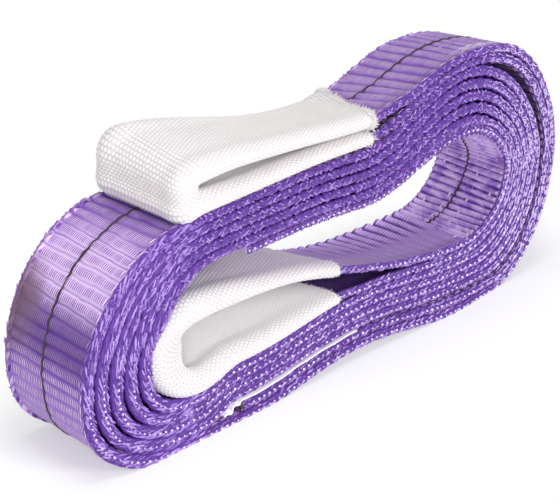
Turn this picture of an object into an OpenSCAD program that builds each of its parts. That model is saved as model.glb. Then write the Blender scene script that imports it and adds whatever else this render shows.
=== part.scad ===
// Flat web sling, wound into a standing coil
// A single-ply lifting sling: one woven web with a sleeved eye sewn at each end.
// The web is wound flat into a long racetrack coil that stands on its outer turn.
// X runs along the coil, Y across the web, Z up. The floor is Z = 0.
// The front end is at -X, where one turn shows its face. The hump is at +X.

/* [Web] */
// Width of the web
web_w = 30; // [26:1:34]
// Thickness of one ply of web
web_t = 1.8; // [1.4:0.1:2]

/* [Coil] */
// Times that the web passes round the front end
turns = 5; // [4:1:5]
// Length of the coil over both ends, along its near edge
coil_l = 165; // [155:1:185]
// Height of the long top run
coil_h = 60; // [58:1:66]
// Rise of the hump above the long top run
hump_rise = 9.3; // [6:0.1:11]
// Height of the arch under the middle of the coil
arch_h = 3.5; // [0:0.1:4.5]
// Depth of the flat that the bottom turn stands on
flat_depth = 0.5; // [0.3:0.1:0.7]

/* [Slump] */
// How far the far side of the top has sunk below its near side
lean = 8.3; // [0:0.1:9]
// From the front end to where the lean begins
lean_start = 4.5; // [2:0.5:10]
// From the rear end to where the lean is full
lean_full_back = 78.5; // [70:0.5:85]
// How far the far side of the rear end lies behind its near side
drift = 3; // [0:0.1:4]
// From the rear end to where the drift begins
drift_start_back = 92.5; // [85:0.5:100]
// From the rear end to where the drift is full
drift_full_back = 32.5; // [25:0.5:40]
// How much lower the far side of the inner eye's loop is
inner_dip = 5; // [0:0.5:5]

/* [Open space between plies] */
// Along the bottom
bottom_gap = 0.7; // [0.5:0.1:0.9]
// Over the top
top_gap = 1; // [0.7:0.1:1.2]
// Round the front end
front_gap = 2.8; // [2:0.1:3]
// Round the rear end
rear_gap = 0.5; // [0.5:0.1:0.7]
// Between plies that are sewn together
splice_gap = 0.6; // [0.5:0.1:0.8]
// Extra space inside the sewn outer turn at the rear end
crescent_gap = 1.5; // [0.5:0.1:2]

/* [Bends] */
// From the front end to the start of the top run
front_top_reach = 36; // [30:1:40]
// From the front end to the start of the bottom run
front_bottom_reach = 26; // [22:1:30]
// Height at which the front end reaches furthest
front_mid_h = 24; // [22:1:28]
// From the rear end to the top of the hump
rear_top_reach = 36.5; // [32:0.5:40]
// From the rear end to the start of the bottom run
rear_bottom_reach = 24.5; // [22:0.5:28]
// Height at which the rear end reaches furthest
rear_mid_h = 37; // [35:1:39]
// How far each turn's bends move inwards from those of the turn outside it
bend_shift = 2; // [1.5:0.1:2.2]
// From the top of the hump to its foot
hump_l = 38; // [30:1:42]
// From the rear end to the middle of the arch
arch_back = 74.5; // [70:0.5:78]
// Half the length of the arch
arch_half = 40; // [34:1:40]

/* [Outer eye] */
// From the rear end to the fold that the eye lifts about
hinge_back = 67.5; // [64:0.5:70]
// From the fold to the end of the eye's loop
outer_eye_l = 67.5; // [60:0.5:72]
// Bend radius at the bottom of the eye's loop, at the middle of the web
outer_low_r = 3; // [2.6:0.1:5]
// Bend radius at the top of the eye's loop, at the middle of the web
outer_top_r = 9; // [7:0.5:10]
// From the fold to the end of the sleeve
outer_sleeve_back = 4; // [3:0.5:10]
// Length over which the two legs close up behind the fold
root_l = 16; // [12:1:20]
// Open space at the fold, between the eye and the coil
hinge_gap = 0.4; // [0.3:0.1:0.6]

/* [Inner eye] */
// Bend radius of the eye's loop, at the middle of the web
inner_bend_r = 12; // [10:0.5:12.5]
// From the end of the loop to the end of the sleeve
inner_sleeve_l = 62; // [50:1:70]
// Length over which the lower leg settles beyond the sleeve
settle_l = 10; // [8:1:14]

/* [Sleeves] */
// Width of a sleeve laid flat
sleeve_w = 33; // [32:0.5:36]
// Wall of a sleeve
sleeve_wall = 0.8; // [0.6:0.1:1]
// Open space between a sleeve and the web in it
sleeve_clear = 0.2; // [0.1:0.05:0.3]
// How far each face of a sleeve swells out at the loop
sleeve_swell = 0.4; // [0.2:0.1:0.6]
// Open space between a sleeve and what lies beside it
sleeve_gap = 0.4; // [0.35:0.05:0.5]

/* [Sewn splices] */
// From the rear end to the cut end of the outer tail
outer_tail_back = 116; // [110:0.5:118]
// Length over which the other plies settle beyond the cut end of the outer tail
tail_settle_l = 13; // [10:0.5:13]
// From the rear end to the cut end of the inner tail
inner_tail_back = 112.5; // [90:0.5:115]
// Rows of stitching in a splice
seam_rows = 4; // [2:1:5]
// Width of a row of stitching
seam_w = 0.9; // [0.6:0.1:1.2]
// Thickness of the thread on the face of the web
seam_t = 0.3; // [0.2:0.05:0.35]
// Open space under the thread, which keeps its facets clear of the web's
seam_clear = 0.15; // [0.1:0.05:0.2]
// From the edge of the web to the first row
seam_inset = 4; // [3:0.5:6]
// Height above the floor at which the outer seams stop
seam_floor = 6; // [4:1:10]

/* [Label] */
// Width of the label
label_w = 30.6; // [26:0.2:32]
// Thickness of the label
label_t = 0.4; // [0.3:0.05:0.5]
// From the rear end to the near end of the label
label_back = 75; // [72:0.5:80]
// Length of the label
label_l = 48; // [40:1:50]
// Open space on each side of the label
label_clear = 0.1; // [0.05:0.05:0.2]

/* [Hidden] */

// Steps in a quarter bend, along the top, over the hump, along the bottom and in a leg of an eye
bend_steps = 8;
top_steps = 18;
hump_steps = 10;
bottom_steps = 18;
leg_steps = 12;
// Points to pass over on either side when the winding's gap to itself is measured
gap_skip = 20;

violet = [0.46, 0.28, 0.68];
sleeve_white = [0.93, 0.92, 0.9];
thread_white = [0.96, 0.95, 0.94];
label_white = [0.98, 0.98, 0.98];

// The drift is part of the overall length, whose middle is X = 0
front_x = -(coil_l + drift) / 2;
rear_x = front_x + coil_l;
crest_x = rear_x - rear_top_reach;
hinge_x = rear_x - hinge_back;
outer_tail_x = rear_x - outer_tail_back;
inner_tail_x = rear_x - inner_tail_back;
arch_x = rear_x - arch_back;
lean_from_x = front_x + lean_start;
lean_to_x = rear_x - lean_full_back;
drift_from_x = rear_x - drift_start_back;
drift_to_x = rear_x - drift_full_back;

bottom_pitch = web_t + bottom_gap;
top_pitch = web_t + top_gap;
front_pitch = web_t + front_gap;
rear_pitch = web_t + rear_gap;
splice_pitch = web_t + splice_gap;
label_room = label_t + 2 * label_clear;
tail_room = bottom_pitch + label_room;

sleeve_half = web_t / 2 + sleeve_clear + sleeve_wall;
sleeve_half_mid = sleeve_half + sleeve_swell;

// Curves that ease in and out between 0 and 1
function ease(s) = (1 - cos(180 * min(1, max(0, s)))) / 2;
function mix(a, b, s) = a + (b - a) * s;
function sum(list) = list * [for (v = list) 1];
function bump(s) = abs(s) < 1 ? (1 + cos(180 * s)) / 2 : 0;

// Middle of pass k of the web at the two ends of the coil
function front_end_x(k) = front_x + web_t / 2 + k * front_pitch;
function rear_end_x(k) = rear_x - web_t / 2 - k * rear_pitch - (k == 0 ? 0 : rear_pitch + crescent_gap);

// Where the bends of pass k meet the top and bottom runs
function front_top_x(k) = front_x + front_top_reach + k * bend_shift;
function front_bottom_x(k) = front_x + front_bottom_reach + k * bend_shift;
function rear_bottom_x(k) = rear_x - rear_bottom_reach - k * bend_shift;

// How the coil has slumped. Each line is worked out for the near edge, far = 0, and for the far edge, far = 1.
function sag(x) = lean * ease((x - lean_from_x) / (lean_to_x - lean_from_x));
function drifted(line, far) =
    [for (p = line) [p[0] + far * drift * ease((p[0] - drift_from_x) / (drift_to_x - drift_from_x)), p[1]]];

// Middle height of pass k along the top, where the first pass lies under the eye
function hump(x) = hump_rise * ease((x - crest_x + hump_l) / hump_l);
function top_z(k, x, far) = coil_h - web_t / 2 - (k - 1) * top_pitch + hump(x) - far * sag(x);

// Places along the top and the bottom that all plies share, which keeps them parallel
top_places = concat(
    [for (i = [1 : top_steps]) mix(front_top_x(0), crest_x - hump_l, i / top_steps)],
    [for (i = [1 : hump_steps]) mix(crest_x - hump_l, crest_x, i / hump_steps)]);
bottom_from_x = rear_bottom_x(turns) - bend_shift;
bottom_to_x = front_bottom_x(turns - 1) + bend_shift;
bottom_places = [for (i = [0 : bottom_steps]) mix(bottom_from_x, bottom_to_x, i / bottom_steps)];

// Middle height of pass k along the bottom, which steps down past the end of the outer tail
function step_down(x) = tail_room * ease((outer_tail_x - x) / tail_settle_l);
function bottom_base(k) = web_t / 2 - flat_depth + k * bottom_pitch;
function arch(x) = arch_h * bump((x - arch_x) / arch_half);
function bottom_z(k, x) = bottom_base(k) + arch(x) + (k == 0 ? 0 : tail_room - step_down(x));

// The two sewn plies that rise over the hump, spread apart at the fold by the eye's legs
tail_seat_z = top_z(1, hinge_x, 0) + splice_pitch;
eye_low_z = max(coil_h + sleeve_gap + sleeve_half_mid, tail_seat_z);
eye_root_z = eye_low_z + 2 * sleeve_half + sleeve_gap;
function spread(x) = 1 - ease((x - hinge_x) / root_l);
function tail_top_z(x, far) = top_z(1, x, far) + splice_pitch + (eye_low_z - tail_seat_z) * spread(x);
function ply_top_z(x, far) = tail_top_z(x, far) + splice_pitch
    + (eye_root_z - eye_low_z - splice_pitch) * spread(x);

// Points of a quarter bend round (cx, cz)
function quarter(cx, cz, rx, rz, from, to) =
    [for (i = [1 : bend_steps]) let (a = mix(from, to, i / bend_steps)) [cx + rx * cos(a), cz + rz * sin(a)]];

// The rear bend from the hump down to the floor, at a middle line that ends at (end_x, low_z)
function rear_bend(high_z, end_x, low_x, low_z, far) = let (mid_z = rear_mid_h - far * lean / 2) concat(
    quarter(crest_x, mid_z, end_x - crest_x, high_z - mid_z, 90, 0),
    quarter(low_x, mid_z, end_x - low_x, mid_z - low_z, 0, -90));

// One pass of the winding: rear bend, bottom run, front bend and the next top run
function winding_pass(k, far) = concat(
    rear_bend(k == 0 ? ply_top_z(crest_x, far) : top_z(k, crest_x, far), rear_end_x(k), rear_bottom_x(k),
              bottom_z(k, rear_bottom_x(k)), far),
    [for (x = concat(bottom_places, [front_bottom_x(k)])) [x, bottom_z(k, x)]],
    quarter(front_bottom_x(k), front_mid_h, front_bottom_x(k) - front_end_x(k),
            front_mid_h - bottom_z(k, front_bottom_x(k)), -90, -180),
    quarter(front_top_x(k), front_mid_h, front_top_x(k) - front_end_x(k),
            top_z(k + 1, front_top_x(k), far) - front_mid_h, 180, 90),
    [for (x = top_places) if (x > front_top_x(k) + web_t / 2) [x, top_z(k + 1, x, far)]]);

// The sewn plies run from the fold to the top of the hump
fold_places = concat([hinge_x], [for (x = top_places) if (x > hinge_x + web_t) x]);

// The whole winding, from the fold to the root of the inner eye, as one strip
root_x = rear_bottom_x(turns);
root_z = bottom_z(turns, root_x);
function winding_line(far) = concat(
    [for (x = fold_places) [x, ply_top_z(x, far)]],
    [for (k = [0 : turns - 1]) each winding_pass(k, far)],
    rear_bend(top_z(turns, crest_x, far), rear_end_x(turns), root_x, root_z, far));
winding = [for (far = [0, 1]) drifted(winding_line(far), far)];

// The tail sewn under the outer ply, from the fold to its cut end at the bottom
tail_low_x = rear_bottom_x(0);
function outer_tail_line(far) = concat(
    [for (x = fold_places) [x, tail_top_z(x, far)]],
    rear_bend(tail_top_z(crest_x, far), rear_end_x(0) - rear_pitch, tail_low_x,
              bottom_z(0, tail_low_x) + bottom_pitch, far),
    [for (x = bottom_places) if (x > outer_tail_x + web_t) [x, bottom_z(0, x) + bottom_pitch]],
    [[outer_tail_x, bottom_z(0, outer_tail_x) + bottom_pitch]]);
outer_tail = [for (far = [0, 1]) drifted(outer_tail_line(far), far)];

// The tail sewn inside the last turn, from the root of the inner eye to its cut end at the top
function reversed(list) = [for (i = [len(list) - 1 : -1 : 0]) list[i]];
function inner_tail_line(far) = concat(
    reversed(rear_bend(top_z(turns, crest_x, far) - splice_pitch, rear_end_x(turns) - rear_pitch, root_x,
                       root_z + bottom_pitch, far)),
    [for (x = reversed(top_places)) if (x > inner_tail_x + web_t / 2)
        [x, top_z(turns, x, far) - splice_pitch]],
    [[inner_tail_x, top_z(turns, inner_tail_x, far) - splice_pitch]]);
inner_tail = [for (far = [0, 1]) drifted(inner_tail_line(far), far)];

// The round end of an eye's loop, from its lower leg at low_z to its upper leg
function loop_end(end_x, low_z, low_r, top_r) = concat(
    [[end_x + low_r, low_z]],
    quarter(end_x + low_r, low_z + low_r, low_r, low_r, -90, -180),
    quarter(end_x + top_r, low_z + low_r, top_r, top_r, 180, 90));

// The outer eye lies on the long top run
outer_loop_x = hinge_x - outer_eye_l + sleeve_half_mid;
outer_low_x = outer_loop_x + outer_low_r;
outer_top_x = outer_loop_x + outer_top_r;
outer_loop_top = eye_low_z + outer_low_r + outer_top_r;
function outer_upper_z(x) = mix(outer_loop_top, eye_root_z, ease((x - outer_top_x) / (hinge_x - outer_top_x)));
function outer_eye_line(end_x) = concat(
    [for (i = [0 : leg_steps - 1]) [mix(end_x, outer_low_x, i / leg_steps), eye_low_z]],
    loop_end(outer_loop_x, eye_low_z, outer_low_r, outer_top_r),
    [for (i = [1 : leg_steps]) let (x = mix(outer_top_x, end_x, i / leg_steps)) [x, outer_upper_z(x)]]);
function sagged(line, far) = [for (p = line) [p[0], p[1] - far * sag(p[0])]];
function outer_eye(end_x) = [for (far = [0, 1]) drifted(sagged(outer_eye_line(end_x), far), far)];

// The inner eye lies in the core, its lower leg on the last turn
inner_end_x = front_end_x(turns - 1) + web_t / 2 + sleeve_gap;
inner_loop_x = inner_end_x + sleeve_half_mid + inner_bend_r;
inner_sleeve_x = inner_end_x + inner_sleeve_l;
sleeve_lift = web_t / 2 + sleeve_gap + sleeve_half_mid - bottom_pitch;
function inner_lower_z(x) = bottom_z(turns - 1, x) + bottom_pitch
    + sleeve_lift * ease((inner_sleeve_x + settle_l - x) / settle_l);
inner_loop_z = inner_lower_z(inner_loop_x);
function inner_eye_line(end_x, steps, far) =
    let (r = inner_bend_r - far * inner_dip / 2,
         leg = [for (i = [0 : steps - 1]) mix(end_x, inner_loop_x, i / steps)])
    concat(
        [for (x = leg) [x, inner_lower_z(x)]],
        loop_end(inner_loop_x - r, inner_loop_z, r, r),
        [for (x = reversed(leg)) [x, mix(inner_loop_z + 2 * r, root_z + bottom_pitch,
                                         ease((x - inner_loop_x) / (root_x - inner_loop_x)))]]);
function inner_eye(end_x, steps) = [for (far = [0, 1]) drifted(inner_eye_line(end_x, steps, far), far)];

// The label lies against the underside of the second pass, over the end of the outer tail
label_x = rear_x - label_back;
label_drop = web_t / 2 + label_clear + label_t / 2;
label_end_x = label_x - label_l;
label_places = concat(
    [label_x],
    [for (x = bottom_places) if (x < label_x - web_t && x > label_end_x + web_t) x],
    [label_end_x]);
second_pass = [for (x = bottom_places) [x, bottom_z(1, x)]];
label_line = [for (x = label_places) [x, lookup(x, second_pass)]];
label_route = [for (far = [0, 1]) drifted(label_line, far)];

// Left-hand unit normal of a line at point i
function normal(line, i) =
    let (a = line[max(0, i - 1)], b = line[min(len(line) - 1, i + 1)], t = (b - a) / norm(b - a)) [-t[1], t[0]];
function part_of(route, from, to) = [for (line = route) [for (i = [from : to]) line[i]]];

// The line of a route at a place across the web, between its lines at the near and the far edge
function across(route, y) =
    let (far = y / web_w + 0.5) [for (i = [0 : len(route[0]) - 1]) mix(route[0][i], route[1][i], far)];

// Corners of a flat section at each point of a route, about y across the web and from right to left of the route.
// What would lie below the floor is cut flat.
function corner(line, i, side, y) = let (p = line[i] + side * normal(line, i)) [p[0], y, max(0, p[1])];
function sections(route, y, width, left, right) =
    let (near_y = y - width / 2, far_y = y + width / 2, near = across(route, near_y), far = across(route, far_y))
    [for (i = [0 : len(near) - 1])
        [corner(near, i, left[i], near_y), corner(far, i, left[i], far_y),
         corner(far, i, right[i], far_y), corner(near, i, right[i], near_y)]];
function constant(route, d) = [for (p = route[0]) d];

// Least open space between the turns of the winding, from each point to the other turns' segments
function to_segment(p, a, b) =
    let (s = min(1, max(0, (p - a) * (b - a) / ((b - a) * (b - a))))) norm(p - mix(a, b, s));
function self_gap(line) = min([for (i = [0 : len(line) - 1]) for (j = [0 : len(line) - 2])
    if (abs(i - j) > gap_skip) to_segment(line[i], line[j], line[j + 1])]) - web_t;
function line_length(line) = sum([for (i = [1 : len(line) - 1]) norm(line[i] - line[i - 1])]);

// Triangles between neighbouring sections of four corners, from the corner numbered first onwards
function side_faces(count, first) = [for (i = [0 : count - 2]) for (k = [0 : 3])
    let (a = first + 4 * i + k, b = first + 4 * i + (k + 1) % 4) each [[a, b, a + 4], [b, b + 4, a + 4]]];
function flipped(faces) = [for (face = faces) reversed(face)];

// A solid strip through its sections
module strip(sections) {
    last = 4 * (len(sections) - 1);
    polyhedron(
        points = [for (section = sections) each section],
        faces = concat(
            side_faces(len(sections), 0),
            [[2, 1, 0], [3, 2, 0]],
            [[last, last + 1, last + 2], [last, last + 2, last + 3]]));
}

// A hollow strip between outer and inner sections, open at both ends
module tube(outer, inner) {
    count = len(outer);
    hollow = 4 * count;
    last = 4 * (count - 1);
    rims = [for (k = [0 : 3]) let (next = (k + 1) % 4) each [
        [k, hollow + next, next], [k, hollow + k, hollow + next],
        [last + k, last + next, last + hollow + next], [last + k, last + hollow + next, last + hollow + k]]];
    polyhedron(
        points = [for (section = concat(outer, inner)) each section],
        faces = concat(side_faces(count, 0), flipped(side_faces(count, hollow)), rims));
}

// A ply of web along a route
module ply(route) {
    color(violet)
        strip(sections(route, 0, web_w, constant(route, web_t / 2), constant(route, -web_t / 2)));
}

// A flat tube along a route, swelling towards the middle of its length
module sleeve(route) {
    ends = len(route[0]) - 1;
    swollen = [for (i = [0 : ends]) sleeve_half + sleeve_swell * sin(180 * i / ends)];
    slot_half = constant(route, web_t / 2 + sleeve_clear);
    color(sleeve_white)
        tube(sections(route, 0, sleeve_w, swollen, -swollen),
             sections(route, 0, web_w + 2 * sleeve_clear, slot_half, -slot_half));
}

// Rows of stitching along a route, on a face that lies that far to its left
module seam(route, face, rows) {
    row_step = (web_w - 2 * seam_inset) / (rows - 1);
    color(thread_white)
        for (i = [0 : rows - 1])
            strip(sections(route, -web_w / 2 + seam_inset + i * row_step, seam_w,
                           constant(route, face + seam_clear + seam_t), constant(route, face + seam_clear)));
}

// Pieces of the sling

module wound_web() {
    ply(winding);
}

module outer_tail_web() {
    ply(outer_tail);
}

module inner_tail_web() {
    ply(inner_tail);
}

module outer_eye_web() {
    ply(outer_eye(hinge_x - hinge_gap));
}

module inner_eye_web() {
    ply(inner_eye(root_x, 2 * leg_steps));
}

module outer_eye_sleeve() {
    sleeve(outer_eye(hinge_x - outer_sleeve_back));
}

module inner_eye_sleeve() {
    sleeve(inner_eye(inner_sleeve_x, leg_steps));
}

// The outer seams run from the top of the hump to just above the floor
outer_seam_start = len(fold_places) - 2;
outer_seam_end = max([for (i = [0 : len(fold_places) + 2 * bend_steps]) if (winding[1][i][1] > seam_floor) i]);
module outer_splice_stitching() {
    seam(part_of(winding, outer_seam_start, outer_seam_end), web_t / 2, seam_rows);
}

// The inner seams run from the root of the inner eye to the underside of the hump
module inner_splice_stitching() {
    seam(part_of(inner_tail, 1, 2 * bend_steps - 1), web_t / 2, seam_rows);
}

module label() {
    color(label_white)
        strip(sections(label_route, 0, label_w, constant(label_route, label_drop + label_t / 2),
                       constant(label_route, label_drop - label_t / 2)));
}

// Two rows of thread hold the label from below, ahead of the tail's cut end
module label_stitching() {
    rows_end = floor(len(label_places) / 2);
    seam(part_of(label_route, 1, rows_end), label_drop + label_t / 2, 2);
}

union() {
    echo(least_gap_between_turns = min(self_gap(winding[0]), self_gap(winding[1])));
    echo(length_over_eyes = line_length(winding[0]) + line_length(outer_eye(hinge_x)[0]) / 2
         + line_length(inner_eye(root_x, 2 * leg_steps)[0]) / 2);
    fold = [for (far = [0, 1]) let (p = drifted([[hinge_x, eye_root_z + web_t / 2 - far * sag(hinge_x)]], far)[0])
        [p[0], (far - 0.5) * web_w, p[1]]];
    echo(fold_middle = (fold[0] + fold[1]) / 2, fold_axis = (fold[1] - fold[0]) / norm(fold[1] - fold[0]));
}

wound_web();
outer_tail_web();
inner_tail_web();
outer_eye_web();
inner_eye_web();
outer_eye_sleeve();
inner_eye_sleeve();
outer_splice_stitching();
inner_splice_stitching();
label();
label_stitching();
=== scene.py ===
"""The looks of a flat web sling that is wound into a standing coil.

Lengths are metres. X runs along the coil, Y across the web, Z up from the floor.
"""
import math

import bpy
import numpy as np
from bpy.props import FloatProperty, FloatVectorProperty, IntProperty, PointerProperty
from mathutils import Matrix, Vector


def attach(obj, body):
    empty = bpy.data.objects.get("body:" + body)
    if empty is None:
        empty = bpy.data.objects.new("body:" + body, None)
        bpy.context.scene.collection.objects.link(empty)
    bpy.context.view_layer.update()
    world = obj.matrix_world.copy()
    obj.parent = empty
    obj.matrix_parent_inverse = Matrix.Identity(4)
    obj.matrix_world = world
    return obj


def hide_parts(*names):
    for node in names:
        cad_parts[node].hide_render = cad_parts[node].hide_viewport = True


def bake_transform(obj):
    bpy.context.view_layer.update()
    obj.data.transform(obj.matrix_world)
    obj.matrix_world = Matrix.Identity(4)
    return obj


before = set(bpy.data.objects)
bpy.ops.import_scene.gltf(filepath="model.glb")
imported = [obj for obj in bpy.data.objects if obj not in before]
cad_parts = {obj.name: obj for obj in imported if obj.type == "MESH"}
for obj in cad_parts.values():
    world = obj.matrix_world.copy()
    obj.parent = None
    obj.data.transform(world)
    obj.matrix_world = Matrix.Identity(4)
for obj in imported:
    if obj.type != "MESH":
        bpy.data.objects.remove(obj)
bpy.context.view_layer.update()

bl_info = {
    "name": "Flat Web Sling",
    "version": (1, 0, 0),
    "blender": (4, 5, 0),
    "location": "View3D > Sidebar > Sling",
    "description": "Builds a wound flat web sling with a sleeved eye at each end",
    "category": "Add Mesh",
}

MM = 0.001


# Properties


def length(name, description, size):
    """A length property whose default is given in millimetres."""
    return FloatProperty(name=name, description=description, default=size * MM, precision=5, unit="LENGTH")


def number(name, description, size, low, high):
    """A plain number between two limits."""
    return FloatProperty(name=name, description=description, default=size, min=low, max=high)


def fraction(name, description, size):
    """A plain number between 0 and 1."""
    return FloatProperty(name=name, description=description, default=size, min=0, max=1, subtype="FACTOR")


def angle(name, description, degrees):
    """An angle property whose default is given in degrees."""
    return FloatProperty(name=name, description=description, default=math.radians(degrees), subtype="ANGLE")


def tint(name, description, colour):
    """A colour in linear light."""
    return FloatVectorProperty(
        name=name, description=description, default=colour, size=3, min=0, max=1, subtype="COLOR")


class WebSizes(bpy.types.PropertyGroup):
    """The woven web by itself"""
    width: length("Width", "Width of the web", 30)
    thickness: length("Thickness", "Thickness of one ply", 1.8)
    edge_thickness: length("Edge thickness", "Thickness of the woven edge, fuller than the face", 2.2)
    edge_width: length("Edge width", "Width of the woven edge", 1.6)
    rib_pitch: length("Rib pitch", "Distance between the crosswise ribs", 3.4)
    rib_height: length("Rib height", "How far a rib stands above its grooves", 0.65)
    crumple: length("Crumple", "How far the ribs stand out where the web is pressed together lengthwise", 0.9)
    crowd: number("Crowding", "How many times closer the ribs lie where the web is pressed", 1.7, 1, 3)
    tick_pitch: length("Warp pitch", "Distance between the warp yarns in a groove", 0.64)
    edge_flare: length("Edge flare", "How much fuller the woven edge is where the turns lie apart", 1.3)
    bead_pitch: length("Bead pitch", "Distance between the loops of weft along an edge", 1.8)
    bead_radius: length("Bead radius", "Radius of a loop of weft at an edge", 0.31)
    yarn_pitch: length("Edge yarn pitch", "Distance between the loose yarns of one row of an edge", 0.95)
    yarn_length: length("Edge yarn length", "Length of a loose yarn in an edge", 2.7)
    yarn_radius: length("Edge yarn radius", "Radius of a loose yarn in an edge", 0.23)
    tick_length: length("Edge tick length", "Length of a short yarn in a pressed edge", 1.5)
    tick_radius: length("Edge tick radius", "Radius of a short yarn in a pressed edge", 0.18)
    tracer_width: length("Tracer width", "Width of the dark tracer yarn", 0.8)
    tracer_offset: length("Tracer offset", "How far the tracer lies past the middle of the web", 1.2)


class CoilSizes(bpy.types.PropertyGroup):
    """The winding"""
    turns: IntProperty(
        name="Turns", description="Times that the web passes round the front end", default=5, min=1)
    coil_l: length("Length", "Length of the coil over both ends", 165)
    coil_h: length("Height", "Height of the long top run", 60)
    hump_rise: length("Hump rise", "Rise of the hump above the long top run", 9.3)
    hump_l: length("Hump length", "From the top of the hump to its foot", 38)
    arch_h: length("Arch height", "Height of the arch under the middle", 3.5)
    arch_back: length("Arch place", "From the rear end to the middle of the arch", 74.5)
    arch_half: length("Arch half length", "Half the length of the arch", 40)
    flat_depth: length("Flat depth", "Depth of the flat that the coil stands on", 0.5)
    bottom_gap: length("Bottom gap", "Open space between plies along the bottom", 0.7)
    top_gap: length("Top gap", "Open space between plies over the top", 1)
    front_gap: length("Front gap", "Open space between plies round the front end", 2.8)
    rear_gap: length("Rear gap", "Open space between plies round the rear end", 0.5)
    splice_gap: length("Splice gap", "Open space between plies that are sewn together", 0.6)
    crescent_gap: length("Crescent gap", "Extra space inside the sewn turn at the rear end", 1.5)
    front_top_reach: length("Front top reach", "From the front end to the top run", 36)
    front_bottom_reach: length("Front bottom reach", "From the front end to the bottom run", 26)
    front_mid_h: length("Front middle height", "Height at which the front end reaches furthest", 24)
    front_full: number("Front fullness", "Shape of its foot: 2 is an ellipse, more is squarer", 2.4, 2, 4)
    rear_full: number("Rear fullness", "Shape of the outer turn's rear top, in the same way", 2.28, 2, 4)
    rear_top_reach: length("Rear top reach", "From the rear end to the top of the hump", 36.5)
    rear_bottom_reach: length("Rear bottom reach", "From the rear end to the bottom run", 24.5)
    rear_mid_h: length("Rear middle height", "Height at which the rear end reaches furthest", 37)
    bend_shift: length("Bend shift", "How far each turn's bends move inwards", 2)
    outer_tail_back: length("Outer tail end", "From the rear end to the outer tail's cut end", 116)
    inner_tail_back: length("Inner tail end", "From the rear end to the inner tail's cut end", 112.5)
    tail_settle_l: length("Tail settling", "Length over which the plies settle past the outer tail", 13)
    lean: length("Lean", "How far the far side of the top has sunk below its near side", 8.3)
    lean_start: length("Lean start", "From the front end to where the lean begins", 4.5)
    lean_full_back: length("Lean full", "From the rear end to where the lean is full", 78.5)
    hump_relief: length("Hump relief", "How much less the hump has sunk", 1.3)
    drift: length("Drift", "How far the far side of the rear end lies behind its near side", 3)
    drift_start_back: length("Drift start", "From the rear end to where the drift begins", 92.5)
    drift_full_back: length("Drift full", "From the rear end to where the drift is full", 32.5)
    wall_drift: length("Wall drift", "How much further back the far side lies at half height", 2.5)
    stack_h: length("Stack height", "Height of the plies that lie pressed together on the floor", 18.5)
    stack_share: fraction("Stack share", "Part of the lean that the top of those plies has", 0.65)
    slide: length("Slide", "How far the lowest plies have slid towards the near side", 2.2)
    slide_h: length("Slide height", "Height at which the plies have not slid", 6)
    spread_low: length("Spread", "How far the innermost ply hangs down under the hump", 3.3)
    leg_sag: length("Leg sag", "How much further the far side of the inner eye's upper leg has sunk", 2.4)
    loop_sag: length("Loop sag", "How far the top of the inner loop has sunk", 2.8)


class EyeSizes(bpy.types.PropertyGroup):
    """The two eyes, their sleeves and the label"""
    hinge_back: length("Fold place", "From the rear end to the fold that the outer eye lifts about", 67.5)
    outer_eye_l: length("Outer eye length", "From the fold to the end of the outer loop", 67.5)
    outer_rise: length("Outer rise", "Height of the outer loop between the middles of its legs", 12)
    outer_low_r: length("Outer low bend", "Bend radius at the bottom of the outer loop", 1.6)
    outer_top_r: length("Outer top bend", "Bend radius at the top of the outer loop", 5)
    outer_corner: length("Outer corner", "How far the sleeve stands out at the bottom of the outer loop", 1.2)
    outer_sleeve_back: length("Outer sleeve end", "From the fold to the end of the outer sleeve", 4)
    outer_sleeve_skew: length("Outer sleeve skew", "How much longer the upper leg's far side is", 11)
    outer_press: length("Outer press", "How far the near side of the outer loop is pressed together", 2.8)
    root_l: length("Root length", "Length over which the legs close up behind the fold", 16)
    inner_bend_r: length("Inner bend", "Bend radius of the inner loop", 12)
    inner_sleeve_l: length("Inner sleeve length", "From the end of the loop to the end of the sleeve", 62)
    settle_l: length("Settling length", "Length over which the lower leg settles beyond the sleeve", 10)
    sleeve_w: length("Sleeve width", "Width of a sleeve laid flat", 33)
    sleeve_wall: length("Sleeve wall", "Wall of a sleeve", 0.8)
    sleeve_clear: length("Sleeve clearance", "Open space between a sleeve and its web", 0.2)
    sleeve_swell: length("Sleeve swell", "How far each face of a sleeve swells out", 0.4)
    sleeve_gap: length("Sleeve gap", "Open space between a sleeve and what lies beside it", 0.4)
    rim_puff: length("Rim puff", "How much fuller a sleeve's rims are on the inside of the loop", 1.6)
    outer_pad: length("Outer pad", "How much fuller still the rims are at the end of the outer loop", 1.8)
    inner_pad: length("Inner pad", "How much fuller still the rims are at the end of the inner loop", 5.5)
    rim_puff_out: length("Outer rim puff", "How much fuller the rims are on the upper leg's outside", 0.7)
    pearl_w: length("Pearl width", "Distance between the pearls of one row", 1.15)
    pearl_l: length("Pearl length", "Distance between rows of pearls along the sleeve", 0.88)
    pearl_height: length("Pearl height", "How far the pearls stand out", 0.32)
    fray_l: length("Fray length", "Length of the loose yarns at a sleeve's cut end", 2.1)
    fray_r: length("Fray radius", "Radius of the loose yarns at a sleeve's cut end", 0.07)
    label_w: length("Label width", "Width of the label", 31.4)
    label_t: length("Label thickness", "Thickness of the label", 0.4)
    label_clear: length("Label clearance", "Open space on each side of the label", 0.1)
    label_back: length("Label place", "From the rear end to the near end of the label", 75)
    label_l: length("Label length", "Length of the label", 48)
    seam_inset: length("Seam inset", "From the edge of the web to the first row of stitches", 4)
    seam_rows: IntProperty(name="Seam rows", description="Rows of stitching in a splice", default=4, min=2)
    stitch_l: length("Stitch length", "Length of one stitch", 2.4)
    stitch_r: length("Thread radius", "Radius of the sewing thread", 0.26)
    stitch_pitch: length("Stitch pitch", "Distance between stitches", 4.4)


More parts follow.
